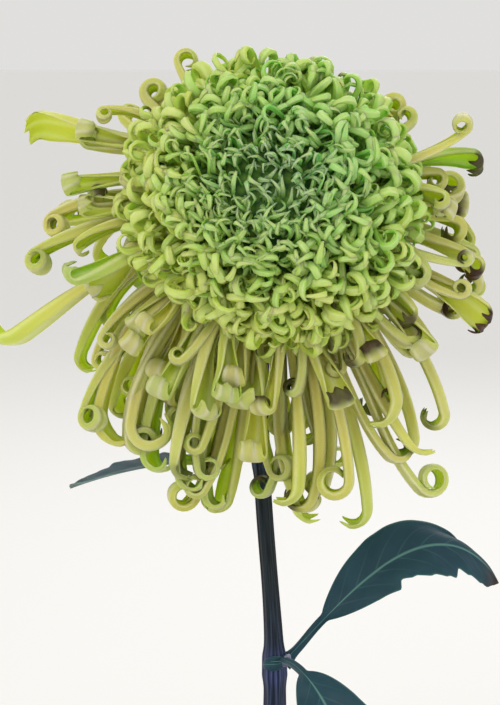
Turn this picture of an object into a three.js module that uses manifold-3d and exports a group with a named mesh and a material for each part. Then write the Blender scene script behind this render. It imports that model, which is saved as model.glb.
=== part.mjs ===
// A single-stemmed quilled chrysanthemum growing in a clay pot.
// Millimetres, +Z up. The origin is the centre of the pot's underside and the bloom faces -Y.
import * as THREE from "three";
import Module from "manifold-3d";

const wasm = await Module();
wasm.setup();

// ---------------------------------------------------------------- driving dimensions

const GAP = 0.3; // clearance between pieces that touch

// Pot: a tapered clay pot with a thick rolled rim band.
const POT_HEIGHT = 145;
const POT_RIM_RADIUS = 80;
const POT_BASE_RADIUS = 52;
const POT_WALL = 6;
const POT_FLOOR = 8;
const RIM_BAND_HEIGHT = 28;
const RIM_BAND_STEP = 4; // how far the band stands out from the wall below it
const RIM_EDGE = 2; // bevel of the band's upper edge
const DRAIN_HOLES = 3;
const DRAIN_RADIUS = 6;
const DRAIN_CIRCLE = 30; // radius of the circle that the holes lie on
const ROUND_STEPS = 40; // segments round the pot and the soil

// Soil: fills the pot up to a watering space below the rim.
const WATERING_SPACE = 18;
const SOIL_MOUND = 4; // how much the soil rises round the stem
const STEM_BURIED = 38;

// Stem: rises, leans back a little and nods forward under the bloom. It is thinner above its topmost leaves.
const STEM_BASE_RADIUS = 5.1;
const STEM_NECK_RADIUS = 3.5;
const STEM_THINS_FROM = 0.4; // shares of the stem's length
const STEM_THINS_TO = 0.6;
const STEM_RIBS = 6;
const STEM_RIB_DEPTH = 0.35;
const STEM_STEPS = 26;
const STEM_UPRIGHT_FROM = 10; // heights above the soil between which the stem is upright
const STEM_UPRIGHT_TO = 100;
const STEM_BENDS = [[0, 0, 181], [-5, 8, 107], [-5.5, 20, 60], [-2.5, 28, 28]]; // [x, y, drop below the neck]
const STEM_NECK_RUN = 14; // straight run into the bloom

// Bloom: where its receptacle is and where it faces.
const BLOOM_HEIGHT = 350; // above the soil
const BLOOM_SHIFT_X = -1.5;
const BLOOM_SHIFT_Y = -6;
const BLOOM_RISE = 18; // degrees above the horizon
const BLOOM_TURN = -6; // degrees towards +X
const RECEPTACLE_RADIUS = 13;
const RECEPTACLE_TOP = 9;
const RECEPTACLE_DEPTH = 14;
const CUP_WALL = 1.2; // the green cup of bracts behind the petals
const CUP_LIP_SHARE = 0.54; // how far the cup's lip lies behind the bloom's centre, in receptacle radii

// Crown: the mass of short hooked florets over the receptacle.
const CROWN_RADIUS = 61;
const CROWN_HEIGHT = 50; // above the bloom's centre
const CROWN_HOLLOW = 7; // how far the youngest florets in the middle lie below the rest
const CROWN_HOLLOW_WIDTH = 13;
const CROWN_UNDERSIDE = 5;
const CROWN_BUMP = 1.6;
const CROWN_BUMPS = 11; // rows of bumps, both outwards and round
const CROWN_ROUND_STEPS = 44;

// Petals: long quills, each a bent arm that ends in a rolled tip.
const PETAL_WIDTH = 4.4;
const PETAL_THICKNESS = 3.2;
const PETAL_SIDES = 6;
const PETALS_IN_A_ROW = 27; // how many would stand side by side round the receptacle
const PETAL_FOOT_SHARE = 0.8; // how much of its room in the row a petal's foot takes
const ARM_STEPS = 8;
const COIL_STEPS_PER_TURN = 8;
const COIL_TIGHTENING = 0.45; // share of its radius that a coil loses by its end
const COIL_PITCH = 0.5; // sideways travel of a coil, in petal widths a turn

// Leaves: lobed blades on short stalks, arched by their own weight.
const LEAF_THICKNESS = 1.1;
const LEAF_STALK_WIDTH = 4;
const LEAF_STEPS = 18;
const LEAF_STALK_SHARE = 0.2; // share of a leaf's length that is bare stalk
const LEAF_FOLD = 0.22; // how much the blade's halves rise from the midrib
const LEAF_EDGE_SHARE = 0.4; // thickness of a blade's edge, as a share of its middle
const LEAF_TIP_SHARE = 0.15; // how far the blade's very end narrows

// ---------------------------------------------------------------- places and directions

const soilTop = POT_HEIGHT - WATERING_SPACE;
const bloomCentre = new THREE.Vector3(BLOOM_SHIFT_X, BLOOM_SHIFT_Y, soilTop + BLOOM_HEIGHT);

const radians = THREE.MathUtils.degToRad;
const DOWN = new THREE.Vector3(0, 0, -1);
const UP = new THREE.Vector3(0, 0, 1);

// The bloom's own frame: `axis` is where it faces, `across` is to its right and `top` is up its face.
const axis = new THREE.Vector3(
  Math.sin(radians(BLOOM_TURN)) * Math.cos(radians(BLOOM_RISE)),
  -Math.cos(radians(BLOOM_TURN)) * Math.cos(radians(BLOOM_RISE)),
  Math.sin(radians(BLOOM_RISE)),
);
const across = new THREE.Vector3().crossVectors(UP, axis).normalize();
const top = new THREE.Vector3().crossVectors(axis, across).normalize();

// A direction on the bloom: clock is degrees clockwise from the top of its face, tilt is degrees from its axis.
function bloomDirection(clock, tilt) {
  return new THREE.Vector3()
    .addScaledVector(axis, Math.cos(radians(tilt)))
    .addScaledVector(across, Math.sin(radians(tilt)) * Math.sin(radians(clock)))
    .addScaledVector(top, Math.sin(radians(tilt)) * Math.cos(radians(clock)));
}

// ---------------------------------------------------------------- bodies carried along a line

// The part of `vector` that is square to `tangent`, as a unit vector.
function squareTo(tangent, vector) {
  return vector.clone().addScaledVector(tangent, -vector.dot(tangent)).normalize();
}

// A closed body: `outline(share)` gives the [x, y] points round the line at each of the stations, where x runs along
// the station's side and y along its face. Both ends close on a point.
function carried(stations, outline) {
  const points = [];
  const faces = [];
  const rings = stations.map(({ point, tangent, face }, i) => {
    const side = new THREE.Vector3().crossVectors(tangent, face);
    const place = ([x, y]) => point.clone().addScaledVector(side, x).addScaledVector(face, y);
    const ring = outline(i / (stations.length - 1)).map(place);
    points.push(...ring);
    return ring.length;
  });
  const count = rings[0];
  const first = points.push(stations[0].point) - 1;
  const last = points.push(stations.at(-1).point) - 1;
  for (let i = 0; i < count; i++) {
    const next = (i + 1) % count;
    for (let ring = 0; ring < rings.length - 1; ring++) {
      const [a, b] = [ring * count + i, ring * count + next];
      faces.push(a, b + count, b, a, a + count, b + count);
    }
    const end = (rings.length - 1) * count;
    faces.push(first, i, next, last, end + next, end + i);
  }
  return new THREE.BufferGeometry().setFromPoints(points).setIndex(faces);
}

// The stations of an arm that sets out along `heading` and bends down under its own weight. `droop` is 0 for a
// straight arm, and 1 for one whose end hangs 45 degrees below a level start.
function armStations({ from, heading, length, droop, reference, roll = 0 }, steps) {
  const stations = [];
  const point = from.clone();
  for (let i = 0; i <= steps; i++) {
    const tangent = heading.clone().addScaledVector(DOWN, droop * (i / steps)).normalize();
    if (i > 0) point.addScaledVector(stations.at(-1).tangent.clone().add(tangent).normalize(), length / steps);
    const face = squareTo(tangent, reference).applyAxisAngle(tangent, radians(roll));
    stations.push({ point: point.clone(), tangent, face });
  }
  return stations;
}

// Goes on from an arm's end with a coil that turns towards the arm's face and tightens as it goes.
function coilStations(arm, turns, radius) {
  const { point, tangent, face } = arm.at(-1);
  const side = new THREE.Vector3().crossVectors(tangent, face);
  const steps = Math.max(2, Math.round(turns * COIL_STEPS_PER_TURN));
  const turn = (2 * Math.PI * turns) / steps;
  const at = point.clone();
  const stations = [];
  for (let i = 1; i <= steps; i++) {
    const tight = 1 - COIL_TIGHTENING * (i / steps);
    const mid = tangent.clone().applyAxisAngle(side, turn * (i - 0.5));
    at.addScaledVector(mid, radius * tight * turn);
    at.addScaledVector(side, (COIL_PITCH * PETAL_WIDTH * turn) / (2 * Math.PI));
    stations.push({
      point: at.clone(),
      tangent: tangent.clone().applyAxisAngle(side, turn * i),
      face: face.clone().applyAxisAngle(side, turn * i),
    });
  }
  return stations;
}

function ovalOutline(width, thickness, sides) {
  return Array.from({ length: sides }, (_, i) => {
    const angle = (2 * Math.PI * i) / sides;
    return [(Math.cos(angle) * width) / 2, (Math.sin(angle) * thickness) / 2];
  });
}

// ---------------------------------------------------------------- manifold-3d bridge

function toSolid(geometry) {
  const { position, index } = mergeByPosition(geometry);
  return new wasm.Manifold(new wasm.Mesh({ numProp: 3, vertProperties: position, triVerts: index }));
}

function toGeometry(solid) {
  const { vertProperties, triVerts } = solid.getMesh();
  return new THREE.BufferGeometry()
    .setAttribute("position", new THREE.BufferAttribute(vertProperties, 3))
    .setIndex(new THREE.BufferAttribute(triVerts, 1));
}

// Joins vertices that share a place, which closes the seam and the poles of a lathed shape.
function mergeByPosition(geometry) {
  const position = geometry.getAttribute("position");
  const places = new Map();
  const kept = [];
  const renamed = Array.from({ length: position.count }, (_, i) => {
    const place = [position.getX(i), position.getY(i), position.getZ(i)];
    const key = place.map((value) => Math.round(value * 1e3)).join();
    if (!places.has(key)) {
      places.set(key, places.size);
      kept.push(...place);
    }
    return places.get(key);
  });
  const index = [];
  for (let i = 0; i < geometry.index.count; i += 3) {
    const [a, b, c] = [0, 1, 2].map((k) => renamed[geometry.index.getX(i + k)]);
    if (a !== b && b !== c && c !== a) index.push(a, b, c);
  }
  return { position: new Float32Array(kept), index: new Uint32Array(index) };
}

// ---------------------------------------------------------------- materials

const finish = (color, roughness) => new THREE.MeshStandardMaterial({ color, roughness, metalness: 0 });
const CLAY = finish("#a9623f", 0.85);
const SOIL = finish("#3a2a20", 1);
const STEM = finish("#39505a", 0.6);
const LEAF = finish("#2f5b52", 0.6);
const BRACT = finish("#4d7a4a", 0.6);
const FLORET = finish("#9cc864", 0.5);
const PETAL = finish("#d5dc7c", 0.5);

// ---------------------------------------------------------------- pot and soil

// The radius of the pot's outside, less `inset`, at a height.
function potRadius(height, inset = 0) {
  const share = height / POT_HEIGHT;
  return POT_BASE_RADIUS + (POT_RIM_RADIUS - RIM_BAND_STEP - POT_BASE_RADIUS) * share - inset;
}

// A profile's [radius, height] points turned round +Z.
function lathed(profile, steps) {
  const points = profile.map(([radius, height]) => new THREE.Vector2(radius, height));
  return new THREE.LatheGeometry(points, steps).rotateX(Math.PI / 2);
}

function potGeometry() {
  const bandFoot = POT_HEIGHT - RIM_BAND_HEIGHT;
  const shell = lathed(
    [
      [0, 0],
      [potRadius(0), 0],
      [potRadius(bandFoot), bandFoot],
      [potRadius(bandFoot) + RIM_BAND_STEP, bandFoot + RIM_BAND_STEP / 2],
      [POT_RIM_RADIUS, POT_HEIGHT - RIM_EDGE],
      [POT_RIM_RADIUS - RIM_EDGE, POT_HEIGHT],
      [potRadius(POT_HEIGHT, POT_WALL), POT_HEIGHT],
      [potRadius(POT_FLOOR, POT_WALL), POT_FLOOR],
      [0, POT_FLOOR],
    ],
    ROUND_STEPS,
  );
  let pot = toSolid(shell);
  for (let i = 0; i < DRAIN_HOLES; i++) {
    const drill = new THREE.CylinderGeometry(DRAIN_RADIUS, DRAIN_RADIUS, 4 * POT_FLOOR, 16).rotateX(Math.PI / 2);
    const angle = (2 * Math.PI * (i + 0.5)) / DRAIN_HOLES;
    drill.translate(DRAIN_CIRCLE * Math.sin(angle), DRAIN_CIRCLE * Math.cos(angle), 0);
    pot = pot.subtract(toSolid(drill));
  }
  return toGeometry(pot);
}

function soilGeometry() {
  const foot = POT_FLOOR + GAP;
  const well = STEM_BASE_RADIUS + GAP;
  return lathed(
    [
      [0, foot],
      [potRadius(foot, POT_WALL + GAP), foot],
      [potRadius(soilTop, POT_WALL + GAP), soilTop],
      [potRadius(soilTop, POT_WALL) * 0.6, soilTop + SOIL_MOUND * 0.3],
      [well, soilTop + SOIL_MOUND],
      [well, soilTop - STEM_BURIED - GAP],
      [0, soilTop - STEM_BURIED - GAP],
    ],
    ROUND_STEPS,
  );
}

// ---------------------------------------------------------------- stem

const neck = bloomCentre.clone().addScaledVector(axis, -RECEPTACLE_DEPTH - GAP);
const stemLine = new THREE.CatmullRomCurve3([
  new THREE.Vector3(0, 0, soilTop - STEM_BURIED),
  new THREE.Vector3(0, 0, soilTop + STEM_UPRIGHT_FROM),
  new THREE.Vector3(0, 0, soilTop + STEM_UPRIGHT_TO),
  ...STEM_BENDS.map(([x, y, drop]) => new THREE.Vector3(x, y, neck.z - drop)),
  neck.clone().addScaledVector(axis, -STEM_NECK_RUN),
  neck,
]);

function stemRadius(share) {
  const thinned = THREE.MathUtils.smoothstep(share, STEM_THINS_FROM, STEM_THINS_TO);
  return THREE.MathUtils.lerp(STEM_BASE_RADIUS, STEM_NECK_RADIUS, thinned);
}

function stemGeometry() {
  const back = new THREE.Vector3().crossVectors(DOWN, across);
  const stations = Array.from({ length: STEM_STEPS + 1 }, (_, i) => {
    const tangent = stemLine.getTangentAt(i / STEM_STEPS);
    return { point: stemLine.getPointAt(i / STEM_STEPS), tangent, face: squareTo(tangent, back) };
  });
  const sides = 2 * STEM_RIBS;
  return carried(stations, (share) =>
    Array.from({ length: sides }, (_, i) => {
      const radius = stemRadius(share) - (i % 2) * STEM_RIB_DEPTH;
      const angle = (2 * Math.PI * i) / sides;
      return [radius * Math.cos(angle), radius * Math.sin(angle)];
    }),
  );
}

// ---------------------------------------------------------------- leaves

// Half of a leaf's width at a share of its length, as a share of its greatest half-width: a wedge that swells, with
// two pairs of blunt lobes and a pointed end.
function leafHalfWidth(share) {
  const blade = Math.max(0, (share - LEAF_STALK_SHARE) / (1 - LEAF_STALK_SHARE));
  const wedge = Math.pow(blade, 0.8) * Math.pow(1 - blade, 0.6) * 2.6;
  return wedge * (1 - 0.24 * Math.pow(Math.abs(Math.sin(Math.PI * 3 * blade)), 3));
}

// [name, height above the soil, bearing, rise, length, width, droop, roll]. Bearing is degrees from +X towards +Y, and
// rise is degrees above the horizon.
const LEAVES = [
  ["leaf_right", 155.5, 12, 56.5, 111, 34, 1.3, 50],
  ["leaf_lower_right", 161.5, -60, 14, 92, 36, 2.2, 20],
  ["leaf_left", 245, 172, 2, 80, 26, 0.45, 0],
  ["leaf_01", 23, 20, 30, 98, 48, 1.1, 0],
  ["leaf_02", 37, 164, 28, 104, 50, 1.1, 0],
  ["leaf_03", 51, 308, 25, 108, 52, 1.15, 0],
  ["leaf_04", 66, 92, 22, 110, 52, 1.15, 0],
  ["leaf_05", 81, 236, 19, 112, 52, 1.25, 0],
  ["leaf_06", 95, 2, 15, 110, 52, 1.3, 0],
  ["leaf_07", 107, 128, 8, 104, 50, 1.2, 0],
  ["leaf_08", 118, 200, 4, 98, 48, 1.2, 0],
];

function leafGeometry([, height, bearing, rise, length, width, droop, roll]) {
  const share = stemShareAt(soilTop + height);
  const heading = new THREE.Vector3(
    Math.cos(radians(bearing)) * Math.cos(radians(rise)),
    Math.sin(radians(bearing)) * Math.cos(radians(rise)),
    Math.sin(radians(rise)),
  );
  const start = (stemRadius(share) + GAP + LEAF_THICKNESS) / Math.cos(radians(rise));
  const from = stemLine.getPointAt(share).addScaledVector(heading, start);
  const stations = armStations({ from, heading, length, droop, reference: UP, roll }, LEAF_STEPS);
  return carried(stations, (at) => {
    const half = Math.max(LEAF_STALK_WIDTH / 2, leafHalfWidth(at) * (width / 2)) * (at > 0.999 ? LEAF_TIP_SHARE : 1);
    const keel = half - LEAF_STALK_WIDTH / 2;
    const edge = keel * LEAF_FOLD;
    const middle = LEAF_THICKNESS / 2;
    const rim = middle * LEAF_EDGE_SHARE;
    return [
      [half, edge - rim],
      [half, edge + rim],
      [0, middle],
      [-half, edge + rim],
      [-half, edge - rim],
      [0, -middle],
    ];
  });
}

// The share of the stem's length at which it passes a height.
function stemShareAt(height) {
  const samples = 400;
  for (let i = 0; i <= samples; i++) if (stemLine.getPointAt(i / samples).z >= height) return i / samples;
  return 1;
}

// ---------------------------------------------------------------- bloom

// Shapes drawn round +Z with their centre at the origin are turned and moved onto the bloom.
const bloomFrame = new THREE.Matrix4().makeBasis(across, top, axis).setPosition(bloomCentre);

function receptacleGeometry() {
  const [r, depth] = [RECEPTACLE_RADIUS, RECEPTACLE_DEPTH];
  return lathed(
    [
      [0, -depth],
      [r * 0.35, -depth],
      [r * 0.8, -depth * 0.62],
      [r, -depth * 0.2],
      [r, RECEPTACLE_TOP * 0.2],
      [r * 0.78, RECEPTACLE_TOP * 0.72],
      [r * 0.4, RECEPTACLE_TOP],
      [0, RECEPTACLE_TOP],
    ],
    24,
  ).applyMatrix4(bloomFrame);
}

// The cup of green bracts: a shell that follows the receptacle's underside, open round the stem.
function bractCupGeometry() {
  const [r, depth] = [RECEPTACLE_RADIUS, RECEPTACLE_DEPTH];
  const inside = [
    [STEM_NECK_RADIUS + GAP, -depth - GAP],
    [r * 0.35 + GAP, -depth - GAP],
    [r * 0.8 + GAP, -depth * 0.62 - GAP],
    [r * 0.9 + GAP, -r * CUP_LIP_SHARE],
  ];
  const outside = [
    [STEM_NECK_RADIUS + GAP, -depth - GAP - CUP_WALL],
    [r * 0.35 + GAP + CUP_WALL, -depth - GAP - CUP_WALL],
    [r * 0.8 + GAP + CUP_WALL, -depth * 0.62 - GAP - CUP_WALL / 2],
    [r * 0.9 + GAP + CUP_WALL, -r * CUP_LIP_SHARE],
  ];
  return lathed([...outside, ...inside.reverse(), outside[0]], 24).applyMatrix4(bloomFrame);
}

// The crown of short florets: a dome over the receptacle with a small hollow in its middle, and a bumpy skin.
function crownGeometry() {
  const rings = 11;
  const rise = CROWN_HEIGHT - CROWN_UNDERSIDE;
  const dome = Array.from({ length: rings + 1 }, (_, i) => {
    const angle = (Math.PI / 2) * (1 - i / rings);
    const radius = CROWN_RADIUS * Math.sin(angle);
    const hollow = CROWN_HOLLOW * Math.exp(-((radius / CROWN_HOLLOW_WIDTH) ** 2));
    return [i === rings ? 0 : radius, CROWN_UNDERSIDE + rise * Math.cos(angle) - hollow];
  });
  const seat = RECEPTACLE_RADIUS + GAP;
  const inside = [
    [0, RECEPTACLE_TOP + GAP],
    [seat * 0.4, RECEPTACLE_TOP + GAP],
    [seat * 0.8, RECEPTACLE_TOP * 0.72 + GAP],
    [seat, RECEPTACLE_TOP * 0.2 + GAP],
  ];
  const crown = lathed([...inside, ...dome], CROWN_ROUND_STEPS);
  const position = crown.getAttribute("position");
  const at = new THREE.Vector3();
  for (let i = 0; i < position.count; i++) {
    at.fromBufferAttribute(position, i);
    const radius = Math.hypot(at.x, at.y);
    if (at.length() < rise * 0.8) continue;
    const share = radius / CROWN_RADIUS;
    const bump = Math.sin(CROWN_BUMPS * Math.PI * share) * Math.cos(CROWN_BUMPS * Math.atan2(at.y, at.x));
    at.setLength(at.length() + CROWN_BUMP * bump * share);
    position.setXYZ(i, at.x, at.y, at.z);
  }
  return crown.applyMatrix4(bloomFrame);
}

// Long petals: [clock, tilt, length, droop, roll, turns, coil radius]. Clock and tilt say which way a petal leaves
// the bloom. Roll turns its coil: 0 rolls towards the bloom's axis, 90 rolls clockwise as seen from the front.
const PETALS = [
  // front row, clockwise from the top left
  [325, 92, 74, 0, 90, 0.8, 4.6],
  [40, 93, 66, 0.1, 90, 0.7, 4],
  [54, 94, 66, 0.15, -80, 0.7, 4],
  [67, 93, 68, 0.25, 90, 0.8, 3.6],
  [81, 94, 74, 0.35, 90, 0.7, 4.5],
  [93, 94, 84, 0.35, 60, 0.6, 3.4],
  [105, 94, 92, 0.45, 30, 0.4, 4],
  [117, 94, 108, 1.4, 90, 0.6, 5],
  [132, 90, 88, 0.9, 90, 0.3, 11],
  [145, 98, 104, 0.5, -90, 0.2, 12],
  [157, 94, 110, 0.5, 90, 0.9, 6.8],
  [170, 95, 108, 0.3, 90, 0.3, 8],
  [183, 94, 94, 0.3, 0, 0.7, 4],
  [196, 95, 96, 0.5, 80, 1.0, 4],
  [209, 94, 106, 0.9, -90, 0.25, 6],
  [222, 95, 76, 1.0, 20, 0.8, 4],
  [235, 94, 104, 1.8, -90, 0.62, 9.5],
  [248, 94, 112, 1.9, -90, 0.35, 12],
  [260, 95, 116, 0.9, 90, 0.3, 13],
  [272, 94, 100, 0.4, -80, 1.0, 4.8],
  [285, 94, 94, 0.55, -90, 1.2, 4.8],
  [298, 93, 102, 0.2, -60, 0.25, 7],
  [311, 94, 72, 0.05, 90, 1.1, 5],
  // back row, clockwise from the top right
  [30, 110, 74, 0.3, 90, 0.7, 4.5],
  [75, 108, 78, 0.3, 0, 0.8, 3.4],
  [88, 108, 84, 0.3, 60, 0.7, 4],
  [101, 108, 86, 0.4, 90, 0.8, 4],
  [115, 108, 84, 0.5, 90, 0.9, 3.6],
  [128, 108, 110, 1.3, 90, 0.35, 8],
  [154, 107, 126, 0.6, 90, 0.35, 8],
  [164, 108, 90, 0.3, 90, 0.7, 4.6],
  [177, 110, 120, 0.3, -90, 0.25, 9],
  [189, 108, 118, 0.4, 60, 0.4, 5],
  [203, 109, 102, 0.7, -70, 0.4, 6],
  [216, 108, 84, 0.9, 20, 0.8, 4],
  [229, 108, 106, 1.2, -70, 0.5, 5],
  [241, 109, 106, 1.1, -90, 0.4, 4.5],
  [266, 108, 112, 1.4, -90, 0.35, 6],
  [278, 107, 92, 0.35, 60, 0.8, 4.4],
  [304, 106, 82, 0.1, 90, 0.6, 4.5],
  // behind the crown, falling backwards
  [14, 112, 88, 1.4, 180, 0.6, 5],
  [350, 112, 96, 1.6, 180, 0.6, 5],
];

function petalStations([clock, tilt, length, droop, roll, turns, radius]) {
  const heading = bloomDirection(clock, tilt);
  const from = bloomCentre.clone().addScaledVector(heading, RECEPTACLE_RADIUS + 2 * GAP);
  const reach = length - RECEPTACLE_RADIUS;
  const arm = armStations({ from, heading, length: reach, droop, reference: axis, roll }, ARM_STEPS);
  return [...arm, ...coilStations(arm, turns, radius)];
}

const petalFoot = (PETAL_FOOT_SHARE * 2 * Math.PI * RECEPTACLE_RADIUS) / PETALS_IN_A_ROW;

// A quill is slender where it leaves the receptacle and reaches its full width a third of the way along.
function petalGeometry(petal) {
  return carried(petalStations(petal), (share) => {
    const width = THREE.MathUtils.lerp(petalFoot, PETAL_WIDTH, THREE.MathUtils.smoothstep(share, 0, 0.35));
    return ovalOutline(width, (width * PETAL_THICKNESS) / PETAL_WIDTH, PETAL_SIDES);
  });
}

// ---------------------------------------------------------------- the whole plant

const plant = new THREE.Group();

function add(name, geometry, material) {
  const mesh = new THREE.Mesh(geometry, material);
  mesh.name = name;
  plant.add(mesh);
}

add("pot", potGeometry(), CLAY);
add("potting_soil", soilGeometry(), SOIL);
add("stem", stemGeometry(), STEM);
for (const leaf of LEAVES) add(leaf[0], leafGeometry(leaf), LEAF);
add("receptacle", receptacleGeometry(), BRACT);
add("bract_cup", bractCupGeometry(), BRACT);
add("crown_florets", crownGeometry(), FLORET);
PETALS.forEach((petal, i) => add(`petal_${String(i + 1).padStart(2, "0")}`, petalGeometry(petal), PETAL));

export default plant;
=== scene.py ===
"""A single-stemmed quilled chrysanthemum in a clay pot: the looks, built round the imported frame.

Sizes are in millimetres and become metres as a mesh is made. +Z is up and the bloom faces -Y.
"""

import logging
import math
from collections.abc import Callable
from dataclasses import dataclass
from enum import Enum
from functools import partial

import bpy
import numpy as np
from mathutils import Euler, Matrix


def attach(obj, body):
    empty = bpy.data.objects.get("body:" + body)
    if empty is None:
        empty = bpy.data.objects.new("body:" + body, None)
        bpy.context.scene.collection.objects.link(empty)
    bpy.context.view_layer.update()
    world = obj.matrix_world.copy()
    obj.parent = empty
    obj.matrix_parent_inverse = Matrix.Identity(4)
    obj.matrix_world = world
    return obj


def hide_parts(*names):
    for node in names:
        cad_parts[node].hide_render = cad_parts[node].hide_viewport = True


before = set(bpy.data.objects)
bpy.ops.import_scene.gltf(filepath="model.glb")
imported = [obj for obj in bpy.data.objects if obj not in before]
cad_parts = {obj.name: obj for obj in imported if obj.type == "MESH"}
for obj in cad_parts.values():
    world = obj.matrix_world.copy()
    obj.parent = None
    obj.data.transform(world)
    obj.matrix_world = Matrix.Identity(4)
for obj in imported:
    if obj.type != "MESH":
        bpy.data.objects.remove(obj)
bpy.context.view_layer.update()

MM = 0.001
UP = np.array([0.0, 0.0, 1.0])
SOIL_TOP = 127.0
LOG = logging.getLogger("chrysanthemum")


class Slot(Enum):
    """The record's material slots."""

    POT = "pot"
    SOIL = "soil"
    STEM = "stem"
    LEAF = "leaf"
    BRACT = "bract"
    FLORET = "floret"
    PETAL = "petal"


# ---------------------------------------------------------------- arrays of vectors


def unit(vectors: np.ndarray) -> np.ndarray:
    """The vectors (..., 3) at length 1."""
    return vectors / np.linalg.norm(vectors, axis=-1, keepdims=True)


def square_to(tangent: np.ndarray, vector: np.ndarray) -> np.ndarray:
    """The unit part of `vector` (..., 3) that is square to the unit `tangent` (..., 3)."""
    return unit(vector - tangent * (vector * tangent).sum(-1, keepdims=True))


def turned(vector: np.ndarray, axis: np.ndarray, angle: np.ndarray) -> np.ndarray:
    """A vector square to a unit axis, turned about it: v cos a + (axis x v) sin a.

    Args:
        vector: the vectors (..., 3).
        axis: the unit axes (..., 3).
        angle: radians, (...).

    Returns:
        The turned vectors (..., 3).
    """
    return vector * np.cos(angle)[..., None] + np.cross(axis, vector) * np.sin(angle)[..., None]


def ease(value: np.ndarray, low: float, high: float) -> np.ndarray:
    """The smooth step from 0 at `low` to 1 at `high`: t t (3 - 2 t)."""
    t = np.clip((value - low) / (high - low), 0, 1)
    return t * t * (3 - 2 * t)


def mixed(low: np.ndarray | float, high: np.ndarray | float, share: np.ndarray) -> np.ndarray:
    """Goes straight from `low` at share 0 to `high` at share 1."""
    return low + (high - low) * share


def bearings(count: int) -> np.ndarray:
    """Angles set evenly round a circle, from 0."""
    return np.arange(count) * 2 * math.pi / count


def section(
    wide: np.ndarray, thick: np.ndarray, angles: np.ndarray, ahead: np.ndarray | float = 0.0
) -> np.ndarray:
    """Ellipses: wide cos a across, thick sin a up, and `ahead` along.

    Args:
        wide: half the width, of a shape that spreads over (..., S).
        thick: half the thickness, likewise.
        angles: a, (S,).
        ahead: how far each point stands out along the path.

    Returns:
        The points (..., S, 3).
    """
    across = wide * np.cos(angles)
    return np.stack([across, thick * np.sin(angles), ahead + 0 * across], -1)


def travelled(line: np.ndarray) -> np.ndarray:
    """The distance from the start of a polyline (K, n) to each of its points, (K,)."""
    return np.concatenate([[0], np.cumsum(np.linalg.norm(np.diff(line, axis=0), axis=1))])


def resampled(line: np.ndarray, travel: np.ndarray, places: np.ndarray) -> np.ndarray:
    """The points (..., n) of a polyline (K, n) at places (...), its own points being at `travel` (K,)."""
    return np.stack([np.interp(places, travel, line[:, i]) for i in range(line.shape[1])], -1)


def lumps(points: np.ndarray, size: float, seed: int) -> np.ndarray:
    """A soft random height for each point, about -1 to 1: sine waves that run in random directions, summed.

    Args:
        points: places (..., 3) in mm.
        size: the usual distance from lump to lump, in mm.
        seed: which pattern.

    Returns:
        The heights (...).
    """
    rng = np.random.default_rng(seed)
    waves = unit(rng.normal(size=(12, 3))) * (2 * math.pi / size) * rng.uniform(0.6, 1.6, (12, 1))
    return np.sin(points @ waves.T + rng.uniform(0, 2 * math.pi, 12)).sum(-1) / 5


# ---------------------------------------------------------------- meshes


def grid_faces(rows: int, columns: int, copies: int = 1) -> tuple[np.ndarray, np.ndarray]:
    """The quads of closed tubes: ring after ring of vertices, each ring wrapped round on itself.

    Vertex (copy, row, column) is number (copy * rows + row) * columns + column. Each quad goes along the tube
    and then round it, which faces outwards for a ring that runs anticlockwise about minus the tangent.

    Args:
        rows: rings in a tube.
        columns: vertices in a ring.
        copies: tubes.

    Returns:
        The quads (F, 4), and each corner's share round and along its tube (F, 4, 2).
    """
    row = np.arange(rows - 1)[:, None, None] + np.array([0, 1, 1, 0])
    column = np.arange(columns)[None, :, None] + np.array([0, 0, 1, 1])
    row, column = np.broadcast_arrays(row, column)
    quads = (row * columns + column % columns).reshape(-1, 4)
    corners = np.stack([column / columns, row / (rows - 1)], -1).reshape(-1, 4, 2)
    shift = np.arange(copies)[:, None, None] * rows * columns
    return (quads + shift).reshape(-1, 4), np.tile(corners, (copies, 1, 1))


def end_faces(cap: np.ndarray, rows: int, columns: int, copies: int = 1) -> np.ndarray:
    """The two ends of each tube of grid_faces.

    Args:
        cap: the faces (F, n) that fill the first ring, as numbers in it.
        rows: rings in a tube.
        columns: vertices in a ring.
        copies: tubes.

    Returns:
        The faces (2 F copies, n).
    """
    both = np.concatenate([cap, cap[:, ::-1] + (rows - 1) * columns])
    return (both + np.arange(copies)[:, None, None] * rows * columns).reshape(-1, cap.shape[1])


# Faces that fill a section of six points.
SIX_CAP = np.array([[0, 1, 2, 3], [0, 3, 4, 5]])


def mark_points(mesh: bpy.types.Mesh, mark: str, values: np.ndarray) -> None:
    """Gives the vertices an attribute, one value each."""
    attribute = mesh.attributes.new(mark, "FLOAT", "POINT")
    attribute.data.foreach_set("value", np.ascontiguousarray(values, np.float32).ravel())


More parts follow.
